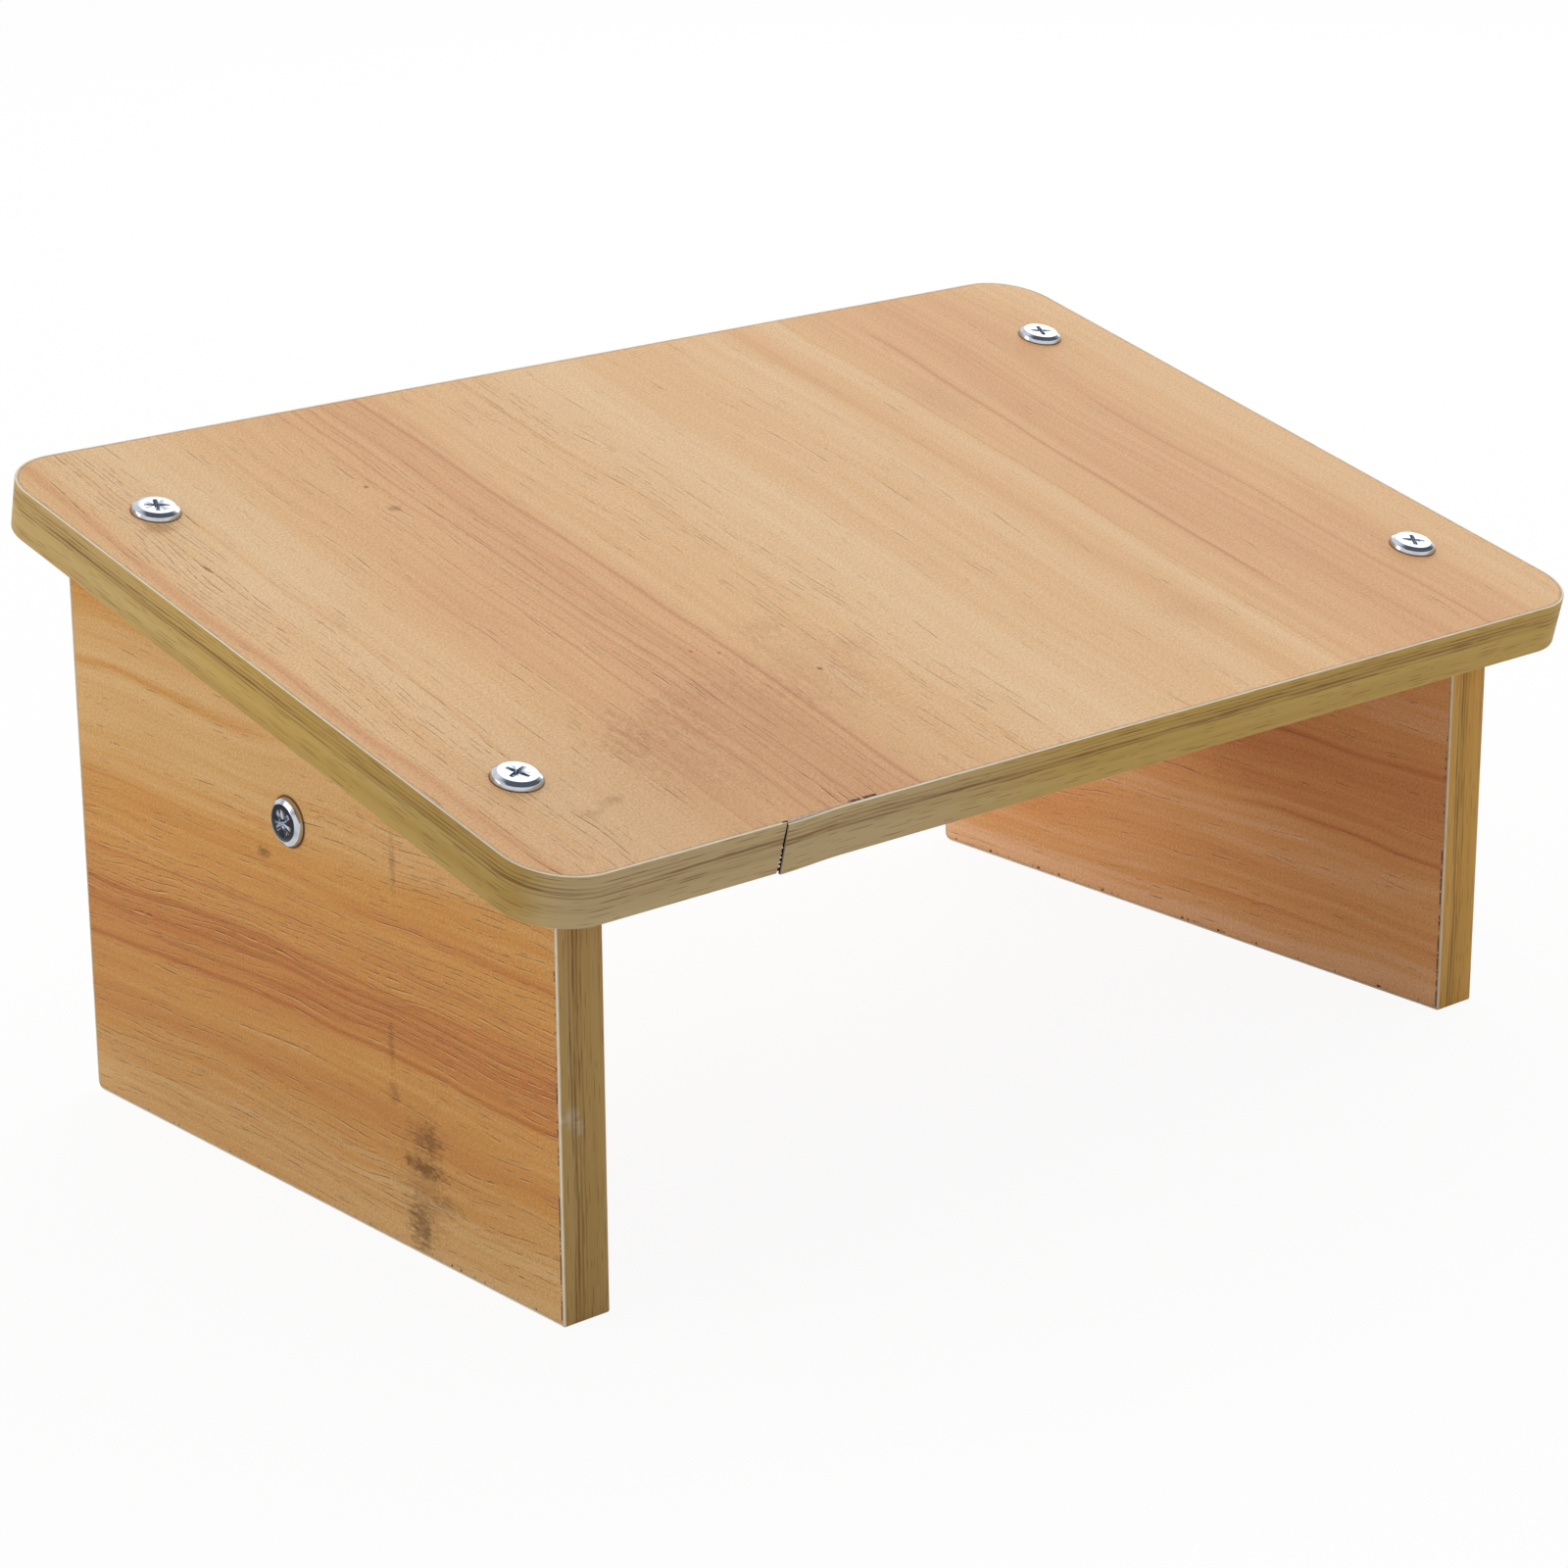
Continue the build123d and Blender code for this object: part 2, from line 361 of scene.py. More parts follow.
class BoltSettings(PropertyGroup):
    """Sizes and metal of the bolts."""

    shank_diameter: length_property("Shank diameter", "Outer diameter of the thread", 6.0)
    thread_pitch: length_property("Thread pitch", "Rise of the thread in one turn", 1.0)
    thread_depth: length_property("Thread depth", "Depth of the thread", 0.5)
    tip_chamfer: length_property("Tip chamfer", "Taper at the end of the shank", 0.8)
    head_diameter: length_property("Head diameter", "Diameter of the head's rim", 14.0)
    flat_diameter: length_property("Flat diameter", "Diameter of the flat on top of the head", 10.8)
    head_height: length_property("Head height", "Height of the head over its seat", 2.2)
    rim_height: length_property("Rim height", "Height of the head's upright rim", 1.4)
    rim_lean: length_property("Rim lean", "How far the rim leans in over its height", 0.3)
    recess_span: length_property("Recess span", "Length of an arm of the cross recess, end to end", 7.0)
    recess_width: length_property("Recess width", "Width of an arm of the cross recess", 1.4)
    recess_floor: length_property("Recess floor", "Length of an arm at the bottom of the recess", 4.0)
    recess_depth: length_property("Recess depth", "Depth of the cross recess", 1.7)
    metal: colour_property("Metal", "Bright plated steel", (200, 206, 215))
    stain: colour_property("Stain", "Dull patches of the plating", (168, 170, 174))
    sleeve: colour_property("Sleeve", "Dull metal of the threaded sleeves", (198, 190, 172))
    sleeve_stain: colour_property("Sleeve stain", "Dull patches of the sleeves", (160, 152, 134))
    dowel: colour_property("Dowel", "Bare wood of the dowels", (222, 190, 146))
    dowel_grain: colour_property("Dowel grain", "Darker grain of the dowels", (192, 150, 104))
    roughness: share_property("Roughness", "Roughness of the plating", 0.09)


class StageSettings(PropertyGroup):
    """Floor, light and camera."""

    floor_size: length_property("Floor size", "Side of the square floor", 12000.0)
    floor_colour: colour_property("Floor", "Pale floor", (244, 244, 244))
    front_sky: amount_property("Front", "Strength of the light from the front", 0.3)
    dark_room: amount_property("Dark room", "Light that metal mirrors from above the front", 0.15)
    back_sky: amount_property("Back", "Strength of the light from the bright side", 1.15)
    bright_side: vector_property("Bright side", "Way to the bright side", (0.35, 0.8, 0.45), "DIRECTION")
    side_window: vector_property(
        "Side window", "Way to a window that metal mirrors", (-0.66, 0.37, 0.64), "DIRECTION"
    )
    key_power: amount_property("Key", "Power of the broad light behind and to the right", 8.0, "POWER")
    key_place: vector_property("Key place", "Place of the broad light", (1.5, 1.0, 1.3))
    key_size: length_property("Key size", "Side of the broad light", 1400.0)
    low_power: amount_property("Low", "Power of the low light behind and to the left", 6.0, "POWER")
    low_place: vector_property("Low place", "Place of the low light", (-1.8, 1.0, 0.55))
    low_size: length_property("Low size", "Side of the low light", 1000.0)
    aim: vector_property("Aim", "Point that both lights look at", (0.0, 0.0, 0.1))
    eye: vector_property("Eye", "Place of the camera", (-0.80673, -0.91563, 0.48138))
    target: vector_property("Target", "Point in the middle of the image", (0.00378, 0.01786, 0.07932))
    roll: FloatProperty(
        name="Roll",
        description="Turn of the camera about its view",
        default=math.radians(-0.324),
        subtype="ANGLE",
    )
    lens: amount_property("Lens", "Focal length on a 36 mm sensor", 98.82, "CAMERA")


class FootrestSettings(PropertyGroup):
    """All settings of the footrest's looks."""

    faces: PointerProperty(type=PrintSettings)
    bands: PointerProperty(type=BandSettings)
    bolts: PointerProperty(type=BoltSettings)
    stage: PointerProperty(type=StageSettings)


def step(operation, turned=False):
    """A method that lays one step of arithmetic with another value, which goes first if turned."""

    def lay(self, other):
        return self.bench.math(operation, *((other, self) if turned else (self, other)))

    return lay


class Value:
    """A socket that takes part in arithmetic: each step lays a node on its bench."""

    __add__ = step("ADD")
    __radd__ = step("ADD", turned=True)
    __sub__ = step("SUBTRACT")
    __rsub__ = step("SUBTRACT", turned=True)
    __mul__ = step("MULTIPLY")
    __truediv__ = step("DIVIDE")
    __lt__ = step("LESS_THAN")
    either = step("MAXIMUM")

    def __init__(self, bench, socket):
        self.bench = bench
        self.socket = socket

    def __abs__(self):
        return self.bench.math("ABSOLUTE", self)

    def scaled(self, factor, shift):
        """This value times a factor, plus a shift."""
        return self.bench.math("MULTIPLY_ADD", self, factor, shift)

    def clamped(self, factor):
        """This value times a factor, kept between 0 and 1."""
        return self.bench.math("MULTIPLY", self, factor, clamp=True)

    def ease(self, low, high):
        """A smooth step from 0 at low to 1 at high."""
        inputs = {"Value": self, "From Min": low, "From Max": high}
        return self.bench.value("ShaderNodeMapRange", inputs, interpolation_type="SMOOTHSTEP")

    def fade(self, low, high):
        """A smooth step from 1 at low to 0 at high."""
        return 1.0 - self.ease(low, high)

    def within(self, low, high, soft):
        """1 between low and high, with soft ends."""
        return self.ease(low - soft, low + soft) - self.ease(high - soft, high + soft)

    def parts(self):
        """The three parts of a vector."""
        made = self.bench.node("ShaderNodeSeparateXYZ", {0: self})
        return [Value(self.bench, socket) for socket in made.outputs]

    def vector(self, operation, other):
        """One step of vector arithmetic."""
        return self.bench.value("ShaderNodeVectorMath", {0: self, 1: other}, operation=operation)

    def dot(self, other):
        """The dot product of two vectors."""
        return self.bench.value("ShaderNodeVectorMath", {0: self, 1: other}, 1, operation="DOT_PRODUCT")

    def noise(self, cell, detail=2.0, roughness=0.5):
        """Smooth noise at this place, whose cells have the given sizes."""
        scaled = self.vector("DIVIDE", cell)
        inputs = {"Vector": scaled, "Scale": 1.0, "Detail": detail, "Roughness": roughness}
        return self.bench.value("ShaderNodeTexNoise", inputs)

    def swing(self, cell, size, detail=2.0, roughness=0.5):
        """Noise about zero at this place, with the given swing."""
        return self.noise(cell, detail, roughness).scaled(2.0, -1.0) * size


class Bench:
    """Lays nodes into one node tree and joins them."""

    def __init__(self, tree):
        self.tree = tree

    def feed(self, node, inputs):
        """Join values to a node's inputs, or set plain ones."""
        for name, value in inputs.items():
            socket = node.inputs[name]
            if isinstance(value, Value):
                self.tree.links.new(value.socket, socket)
            elif isinstance(value, (float, int)):
                socket.default_value = value
            elif socket.type == "RGBA":
                socket.default_value = (*value[:3], 1.0)
            else:
                socket.default_value = tuple(value)

    def node(self, kind, inputs=None, **options):
        """Add a node, set its options, then feed its inputs."""
        made = self.tree.nodes.new(kind)
        for option, value in options.items():
            setattr(made, option, value)
        self.feed(made, inputs or {})
        return made

    def value(self, kind, inputs=None, output=0, **options):
        """One output of a new node."""
        return Value(self, self.node(kind, inputs, **options).outputs[output])

    def values(self, kind, inputs=None, **options):
        """All outputs of a new node, by name."""
        made = self.node(kind, inputs, **options)
        return {socket.name: Value(self, socket) for socket in made.outputs}

    def math(self, operation, first, second=0.0, third=0.0, clamp=False):
        """One step of arithmetic."""
        inputs = {0: first, 1: second, 2: third}
        return self.value("ShaderNodeMath", inputs, operation=operation, use_clamp=clamp)

    def length(self, x, y):
        """The length of a flat vector."""
        return self.math("SQRT", x * x + y * y)

    def blend(self, share, first, second, mode="MIX"):
        """Mix two colours."""
        inputs = {0: share, 6: first, 7: second}
        return self.value("ShaderNodeMix", inputs, 2, data_type="RGBA", blend_type=mode)

    def join(self, x, y, z):
        """A vector of three values."""
        return self.value("ShaderNodeCombineXYZ", {0: x, 1: y, 2: z})

    def normal(self):
        """The way that the face looks."""
        return self.value("ShaderNodeNewGeometry", output="True Normal")


def total(terms):
    """The sum of several values."""
    return functools.reduce(operator.add, terms)


def build_group(name, takes, gives, fill):
    """A new shader node group: fill gets a bench and the group's inputs and returns what feeds each output.

    An input is given by its kind or, where it is a number, by its starting value.
    """
    tree = bpy.data.node_groups.new(name, "ShaderNodeTree")
    for socket, start in takes.items():
        kind = start if isinstance(start, str) else "Float"
        entry = tree.interface.new_socket(socket, in_out="INPUT", socket_type=f"NodeSocket{kind}")
        if kind == "Float":
            entry.default_value = start
    for socket, kind in gives.items():
        tree.interface.new_socket(socket, in_out="OUTPUT", socket_type=f"NodeSocket{kind}")
    bench = Bench(tree)
    bench.node("NodeGroupOutput", fill(bench, bench.values("NodeGroupInput")))
    return tree


def node_group(name, takes, gives):
    """Turn a function that fills a shader node group into one that lays the group, which is built once."""

    def wrap(fill):
        @functools.wraps(fill)
        def lay(bench, inputs):
            tree = bpy.data.node_groups.get(name) or build_group(name, takes, gives, fill)
            return bench.values("ShaderNodeGroup", inputs, node_tree=tree)

        return lay

    return wrap


@node_group(
    "print_streak",
    {"Place": "Vector", "Across": 0.0, "Width": 1.0, "Tone": 1.0, "Start": 0.0, "End": 1.0},
    {"Tone": "Float"},
)
def streak_group(bench, given):
    """One stripe: tone * exp(-((x - place) / width)^2), faded in at its start and out at its end."""
    x, y, _ = given["Place"].parts()
    offset = (x - given["Across"]) / given["Width"]
    hump = bench.math("EXPONENT", offset * offset * -1.0)
    begun = (y - given["Start"]).ease(-STREAK_FADE, STREAK_FADE)
    ended = (y - given["End"]).ease(-STREAK_FADE, STREAK_FADE)
    return {"Tone": hump * (begun - ended) * given["Tone"]}


@node_group("print_sway", {"Place": "Vector", "Size": 4.0}, {"Place": "Vector"})
def sway_group(bench, given):
    """Bend the print: x gains slow noise along the grain, so that straight stripes waver."""
    place = given["Place"]
    x, y, z = place.parts()
    slow = place.swing((80.0, 120.0, 40.0), given["Size"], 1.0)
    quick = place.swing((13.0, 45.0, 40.0), given["Size"] * 0.25, 1.0)
    return {"Place": bench.join(x + slow + quick, y, z)}


@node_group(
    "pore_ticks",
    {"Place": "Vector", "Across": 2.0, "Along": 16.0, "Width": 0.15, "Length": 4.0, "Share": 0.5},
    {"Mask": "Float"},
)
def tick_group(bench, given):
    """Short ticks along the grain, one to a cell: an ellipse about each cell's own point."""
    cell = bench.join(given["Across"], given["Along"], 1.0)
    place = given["Place"].vector("DIVIDE", cell)
    cells = bench.values("ShaderNodeTexVoronoi", {"Vector": place, "Scale": 1.0}, voronoi_dimensions="2D")
    x, y, _ = place.vector("SUBTRACT", cells["Position"]).vector("MULTIPLY", cell).parts()
    chance, size, strength = cells["Color"].parts()
    x = x / (given["Width"] * size.scaled(0.5, 0.5))
    y = y / (given["Length"] * size.scaled(0.8, 0.2))
    inside = (x * x + y * y).fade(0.35, 1.0)
    return {"Mask": inside * (chance < given["Share"]) * strength.scaled(0.6, 0.4)}


@node_group(
    "carved_grain",
    {"Place": "Vector", "Share": 0.5},
    {"Line": "Float", "Lip": "Float", "Groove": "Float"},
)
def grain_group(bench, given):
    """Fine carved lines along the grain, some 2 mm apart: each has its own breaks and all of them waver.

    A line runs where x / pitch plus slow noise is half way between two whole numbers, and a line's
    whole number and the place along it pick the noise that breaks it up into runs and dashes. A painted
    highlight lies beside each dash, where its lip would catch the light.
    """
    place = given["Place"]
    x, y, _ = place.parts()
    slow = place.swing((9.0, 60.0, 30.0), 1.5, 1.0)
    quick = place.swing((2.6, 24.0, 30.0), 0.4, 1.0)
    phase = x / GRAIN_PITCH + slow + quick
    number = bench.math("FLOOR", phase)
    run = bench.join(number * 1.7, y / 24.0, 0.0).noise((1.0, 1.0, 1.0), 1.0)
    dash = bench.join(number * 3.3, y / 4.4, 0.0).noise((1.0, 1.0, 1.0), 1.0)
    kept = given["Share"].scaled(0.5, run).ease(0.7, 0.83) * dash.ease(0.36, 0.56).scaled(0.8, 0.2)
    middle = bench.math("FRACT", phase) - 0.5
    away = abs(middle) * GRAIN_PITCH
    aside = abs(middle.scaled(GRAIN_PITCH, 0.27))
    shapes = {"Line": away.fade(0.03, 0.15), "Lip": aside.fade(0.04, 0.18), "Groove": away.fade(0.0, 0.34)}
    return {name: shape * kept for name, shape in shapes.items()}


@node_group(
    "dirt_smudge",
    {"Place": "Vector", "Middle": "Vector", "Size": "Vector", "Strength": 0.5, "Ragged": 1.5},
    {"Mask": "Float"},
)
def smudge_group(bench, given):
    """A ragged spot: an ellipse about its middle whose edge is broken up by noise."""
    place = given["Place"]
    x, y, _ = place.vector("SUBTRACT", given["Middle"]).vector("DIVIDE", given["Size"]).parts()
    ragged = bench.length(x, y) + place.swing((1.3, 3.4, 9.0), given["Ragged"], 4.0, 0.7)
    return {"Mask": ragged.fade(0.1, 1.2) * given["Strength"]}


PRINT_NUMBERS = {"Tone": 0.0, "Lines": 1.0, "Pores": 0.5}
PRINT_COLOURS = {"Base": "Color", "Pale": "Color", "Red": "Color", "Pore": "Color"}


@node_group(
    "faced_print",
    {"Place": "Vector", **PRINT_NUMBERS, **PRINT_COLOURS},
    {"Color": "Color", "Height": "Float"},
)
def print_group(bench, given):
    """The printed face: a base colour moved towards pale or red by the tone, with pores, sand and a painted
    highlight beside each carved line.
    """
    place = given["Place"]
    lines = place.swing((3.0, 120.0, 30.0), 1.4, 3.0, 0.6)
    broad = place.swing((26.0, 260.0, 30.0), 0.5, 2.0)
    tone = given["Tone"] + lines * given["Lines"] + broad
    colour = bench.blend(tone.clamped(1.0), given["Base"], given["Pale"])
    colour = bench.blend(tone.clamped(-1.0), colour, given["Red"])
    deep = bench.math("SUBTRACT", -0.9, tone, clamp=True) * 0.22
    colour = bench.blend(deep, colour, given["Pore"])
    sand = place.swing((0.55, 0.9, 3.0), 1.0, 2.0)
    lit = sand.scaled(0.36, 1.0)
    colour = bench.blend(1.0, colour, bench.join(lit, lit, lit), "MULTIPLY")
    small = {"Place": place, "Across": 0.9, "Along": 9.0, "Width": 0.17, "Length": 3.4}
    ticks = tick_group(bench, {**small, "Share": given["Pores"] * 0.35})["Mask"]
    grain = grain_group(bench, {"Place": place, "Share": given["Pores"]})
    # Painted highlight: the pale lip beside each carved line.
    colour = bench.blend(grain["Lip"] * 0.8, colour, given["Pale"])
    colour = bench.blend((ticks * 0.4).either(grain["Line"] * 0.66), colour, given["Pore"])
    dents = (ticks * 0.6).either(grain["Groove"])
    return {"Color": colour, "Height": sand * 0.25 - dents}


@node_group(
    "rim_depth", {"Place": "Vector", "Half X": 100.0, "Half Y": 100.0, "Radius": 10.0}, {"Depth": "Float"}
)
def rim_group(bench, given):
    """Depth inside a rounded rectangle: radius - |max(q, 0)| - min(max(qx, qy), 0).

    Here q = |p| - half + radius.
    """
    radius = given["Radius"]
    x, y, _ = given["Place"].parts()
    qx = abs(x) - (given["Half X"] - radius)
    qy = abs(y) - (given["Half Y"] - radius)
    beyond = bench.length(qx.either(0.0), qy.either(0.0))
    return {"Depth": radius - beyond - bench.math("MINIMUM", qx.either(qy), 0.0)}


@node_group(
    "band_print",
    {"Place": "Vector", "Streak": 2.5, "Ground": "Color", "Light": "Color", "Dark": "Color"},
    {"Color": "Color", "Height": "Float"},
)
def band_group(bench, given):
    """The strip's print: x runs along it and y across, with one bold streak and broken finer ones."""
    x, y, _ = given["Place"].parts()
    sway = bench.join(x, y, 0.0).swing((55.0, 40.0, 1.0), 0.7, 2.0)
    place = bench.join(y + sway, x, 0.0)
    fibres = place.swing((0.4, 60.0, 1.0), 0.8, 3.0, 0.65)
    mixed = fibres + place.swing((4.2, 150.0, 1.0), 1.0, 1.0)
    ends = (-9000.0, 9000.0)
    strands = [Streak(given["Streak"] + offset, width, tone, *ends) for offset, width, tone in BAND_STRANDS]
    lively = place.noise((1.4, 38.0, 1.0), 2.0).ease(0.28, 0.62)
    dashes = {"Place": place, "Across": 0.95, "Along": 14.0, "Width": 0.14, "Length": 6.5, "Share": 0.7}
    dashes = tick_group(bench, dashes)["Mask"]
    dark = mixed.clamped(-0.4) + lay_streaks(bench, place, strands) * lively + dashes * 0.85
    dark = bench.math("MINIMUM", dark, 1.0)
    ground = bench.blend(mixed.clamped(0.8), given["Ground"], given["Light"])
    return {"Color": bench.blend(dark, ground, given["Dark"]), "Height": dark * -1.0}


def node_points(name):
    """All corners of a CAD node, one to a row."""
    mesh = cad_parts[name].data
    points = np.empty(len(mesh.vertices) * 3, dtype=np.float32)
    mesh.vertices.foreach_get("co", points)
    return points.reshape(-1, 3).astype(float)


def board_axes():
    """The top board's own axes: across, up its slope and out of its face, found from its largest face."""
    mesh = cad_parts["top_board"].data
    areas = np.empty(len(mesh.polygons), dtype=np.float32)
    normals = np.empty(len(mesh.polygons) * 3, dtype=np.float32)
    mesh.polygons.foreach_get("area", areas)
    mesh.polygons.foreach_get("normal", normals)
    normal = normals.reshape(-1, 3)[areas.argmax()].astype(float)
    normal *= math.copysign(1.0, normal[2])
    across = np.array((1.0, 0.0, 0.0))
    return np.stack((across, np.cross(normal, across), normal))


def spans(name, axes):
    """Lowest and highest reach of a CAD node along each of three axes."""
    reach = node_points(name) @ axes.T
    return reach.min(axis=0), reach.max(axis=0)


def print_place(bench, origin=(0, 0, 0), across=ACROSS, along=BACK):
    """Object coordinates in millimetres of a print: x across its grain, y along it, z out of the face."""
    turn = Matrix((across, along, np.cross(across, along)))
    inputs = {
        "Vector": bench.value("ShaderNodeTexCoord", output="Object"),
        "Location": turn @ Vector(origin) * -1 / MM,
        "Rotation": turn.to_euler(),
        "Scale": (1 / MM, 1 / MM, 1 / MM),
    }
    return bench.value("ShaderNodeMapping", inputs, vector_type="POINT")


def new_material(name, inputs=None):
    """A material with its bench and its Principled shader, some of whose inputs are fed."""
    material = bpy.data.materials.new(name)
    material.use_nodes = True
    bench = Bench(material.node_tree)
    shader = material.node_tree.nodes["Principled BSDF"]
    bench.feed(shader, inputs or {})
    return material, bench, shader


def relief(bench, height, depth):
    """A normal tilted by a height that is given in units of depth."""
    return bench.value("ShaderNodeBump", {"Height": height, "Distance": depth, "Strength": 1.0})


def cover(node_name, material):
    """Give a CAD node its material."""
    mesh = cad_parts[node_name].data
    mesh.materials.clear()
    mesh.materials.append(material)


def lay_streaks(bench, place, streaks):
    """The summed tone of a print's stripes."""
    sockets = ("Across", "Width", "Tone", "Start", "End")
    tones = []
    for streak in streaks:
        inputs = {"Place": place, **dict(zip(sockets, streak))}
        tones.append(streak_group(bench, inputs)["Tone"])
    return total(tones)


def lay_smudges(bench, place, smudges):
    """The summed strength of a face's marks."""
    masks = [0.0]
    for smudge in smudges:
        inputs = {
            "Place": place,
            "Middle": (smudge.across, smudge.along, 0.0),
            "Size": (smudge.wide, smudge.tall, 1.0),
            "Strength": smudge.strength,
            "Ragged": smudge.ragged,
        }
        masks.append(smudge_group(bench, inputs)["Mask"])
    return total(masks)


def lay_seat_shadows(bench, place, seats, radius):
    """A painted shadow where bolt heads sit on a face: darkest at the head's radius, soon gone outside it.
    """
    masks = []
    for seat in seats:
        x, y, _ = place.vector("SUBTRACT", (*seat, 0.0)).parts()
        masks.append(bench.length(x, y).fade(radius, radius + SEAT_SHADOW_FADE))
    return total(masks) * SEAT_SHADOW_DARK


def faced_material(name, settings, kind, spot, streaks, pores, spread, lines, smudges=()):
    """A printed face; returns the material, its bench and shader, the place on it and the colour to feed.

    kind picks the colours, spot is the print's origin and its directions across and along the grain,
    pores are zones of pores, spread is the share of pores elsewhere, and lines is the strength of the
    finest stripes.
    """
    inputs = {"Roughness": settings.roughness, "Specular IOR Level": FACE_SPECULAR}
    material, bench, shader = new_material(name, inputs)
    flat = print_place(bench, *spot)
    place = sway_group(bench, {"Place": flat, "Size": SWAY})["Place"]
    inputs = {
        "Place": place,
        "Tone": lay_streaks(bench, place, streaks),
        "Lines": lines,
        "Pores": lay_streaks(bench, place, pores) + spread if pores else spread,
        "Pore": settings.pore,
    }
    for tone in ("Base", "Pale", "Red"):
        inputs[tone] = getattr(settings, f"{kind}_{tone.lower()}")
    made = print_group(bench, inputs)
    colour = bench.blend(lay_smudges(bench, flat, smudges), made["Color"], settings.stain)
    bench.feed(shader, {"Normal": relief(bench, made["Height"], settings.emboss)})
    return material, bench, shader, flat, colour


def top_material(settings, bands, head):
    """The top's print, with a grey line at its rim, chips by the seam, painted shadows round the bolt heads
    and bare board at its sides, painted darker in the seam's gap.
    """
    axes = board_axes()
    low, high = spans("top_board", axes)
    middle = (low + high) / 2
    origin = axes.T @ np.array((middle[0], middle[1], low[2]))
    half = (high - low) / 2 / MM
    material, bench, shader, flat, colour = faced_material(
        "top_print", settings, "top", (origin, *axes[:2]), TOP_STREAKS, TOP_PORES, 0.12, 0.6, TOP_SMUDGES
    )
    radius = (bands.corner_radius - bands.thickness) / MM
    inputs = {"Place": flat, "Half X": half[0], "Half Y": half[1], "Radius": radius}
    depth = rim_group(bench, inputs)["Depth"]
    line = depth.fade(0.15, 0.5) * flat.noise((3.0, 3.0, 3.0), 3.0, 0.6).ease(0.3, 0.6)
    colour = bench.blend(line * 0.5, colour, settings.glue)
    x, y, _ = flat.parts()
    seam = bands.seam_place / MM
    start, end = CHIPPED_RUN
    shallow, deep = CHIP_DEPTHS
    chipped = x.within(seam + start, seam + end, 0.4) * (y * -1.0).ease(half[1] - deep, half[1] - shallow)
    chipped = chipped * flat.noise((0.9, 5.0, 3.0), 2.0).ease(0.36, 0.5)
    colour = bench.blend(chipped, colour, settings.dirt)
    seats = []
    for place in BOLT_TURNS:
        if not place.endswith("rail"):
            nearest, farthest = spans(f"{place}_bolt", axes)
            seats.append(((nearest + farthest) / 2 - middle)[:2] / MM)
    # Painted shadows round the bolt heads.
    colour = bench.blend(lay_seat_shadows(bench, flat, seats, head), colour, settings.dirt)
    side = abs(bench.normal().dot(axes[2])) < 0.5
    grains = flat.noise((0.7, 0.7, 0.7), 3.0).ease(0.35, 0.7)
    raw = bench.blend(grains * 0.3, settings.raw, settings.glue)
    # Painted shade on the bare board's side in the seam's gap.
    raw = bench.blend(x.within(seam - 0.6, seam + 0.6, 0.1), raw, settings.dirt)
    bench.feed(shader, {"Base Color": bench.blend(side, colour, raw)})
    return material


def panel_material(side, settings, streaks, smudges, pores, head):
    """A side panel's print, with a chipped glue line beside its front band, heavier near the floor.

    The marks are on the face towards -X alone. Each face's tone is painted light, one print in lit and
    shaded copies, and a painted shadow rings the rail bolt's head.
    """
    material, bench, shader, flat, colour = faced_material(
        f"{side}_print", settings, "side", ((0, 0, 0), UP, BACK), streaks, pores, 0.2, 0.75
    )
    marked = bench.normal().parts()[0] < -0.5
    # Painted light: the face towards -X and the other face take different tones of one print.
    near_painted_light, far_painted_light = PANEL_PAINTED_LIGHT[side]
    colour = bench.blend(1.0, colour, bench.blend(marked, far_painted_light, near_painted_light), "MULTIPLY")
    colour = bench.blend(lay_smudges(bench, flat, smudges) * marked, colour, settings.dirt)
    z, y, _ = flat.parts()
    low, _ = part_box(f"{side}_side_panel")
    near = (y - low[1] / MM).fade(0.25, 0.65)
    broken = flat.noise((2.2, 30.0, 9.0), 3.0, 0.7)
    chips = (broken - z.ease(10.0, 110.0).scaled(0.16, 0.44)).ease(-0.02, 0.05)
    specks = flat.noise((30.0, 2.0, 9.0), 3.0, 0.7).ease(0.58, 0.62)
    dirt_and_shadow = (near * chips).either(z.fade(1.3, 2.0) * specks)
    bolt_low, bolt_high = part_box(f"{side}_rail_bolt")
    seat = [(bolt_low[axis] + bolt_high[axis]) / 2 / MM for axis in (2, 1)]
    # Painted shadow round the rail bolt's head, a little out from it.
    dirt_and_shadow = dirt_and_shadow.either(lay_seat_shadows(bench, flat, (seat,), head + PANEL_SEAT_GAP))
    bench.feed(shader, {"Base Color": bench.blend(dirt_and_shadow, colour, settings.dirt)})
    return material


def band_material(name, bands, place_of, printed_of, streak, soil_of, dust_of, tint=WHITE):
    """A plastic strip: its print on the outer face, plain cream where it is trimmed, dust and soil, which
    on the top's strip are partly painted sheen and painted shade.
    """
    inputs = {"Roughness": bands.roughness, "Specular IOR Level": STRIP_SPECULAR}
    material, bench, shader = new_material(name, inputs)
    place = place_of(bench)
    dust = dust_of(bench, place)
    ground = bench.blend(dust, np.array(bands.olive) * tint, bands.dust)
    light = bench.blend(dust, np.array(bands.light) * tint, bands.dust)
    inputs = {"Place": place, "Streak": streak, "Ground": ground, "Light": light, "Dark": bands.brown}
    made = band_group(bench, inputs)
    printed = printed_of(bench, place)
    mottle = place.noise((3.0, 3.0, 3.0), 3.0).ease(0.35, 0.75)
    cream = bench.blend(mottle * 0.25, bands.cream, bands.light)
    colour = bench.blend(printed, cream, made["Color"])
    colour = bench.blend(soil_of(bench, place), colour, bands.soil)
    normal = relief(bench, made["Height"] * printed, STRIP_RELIEF)
    bench.feed(shader, {"Base Color": colour, "Normal": normal})
    return material


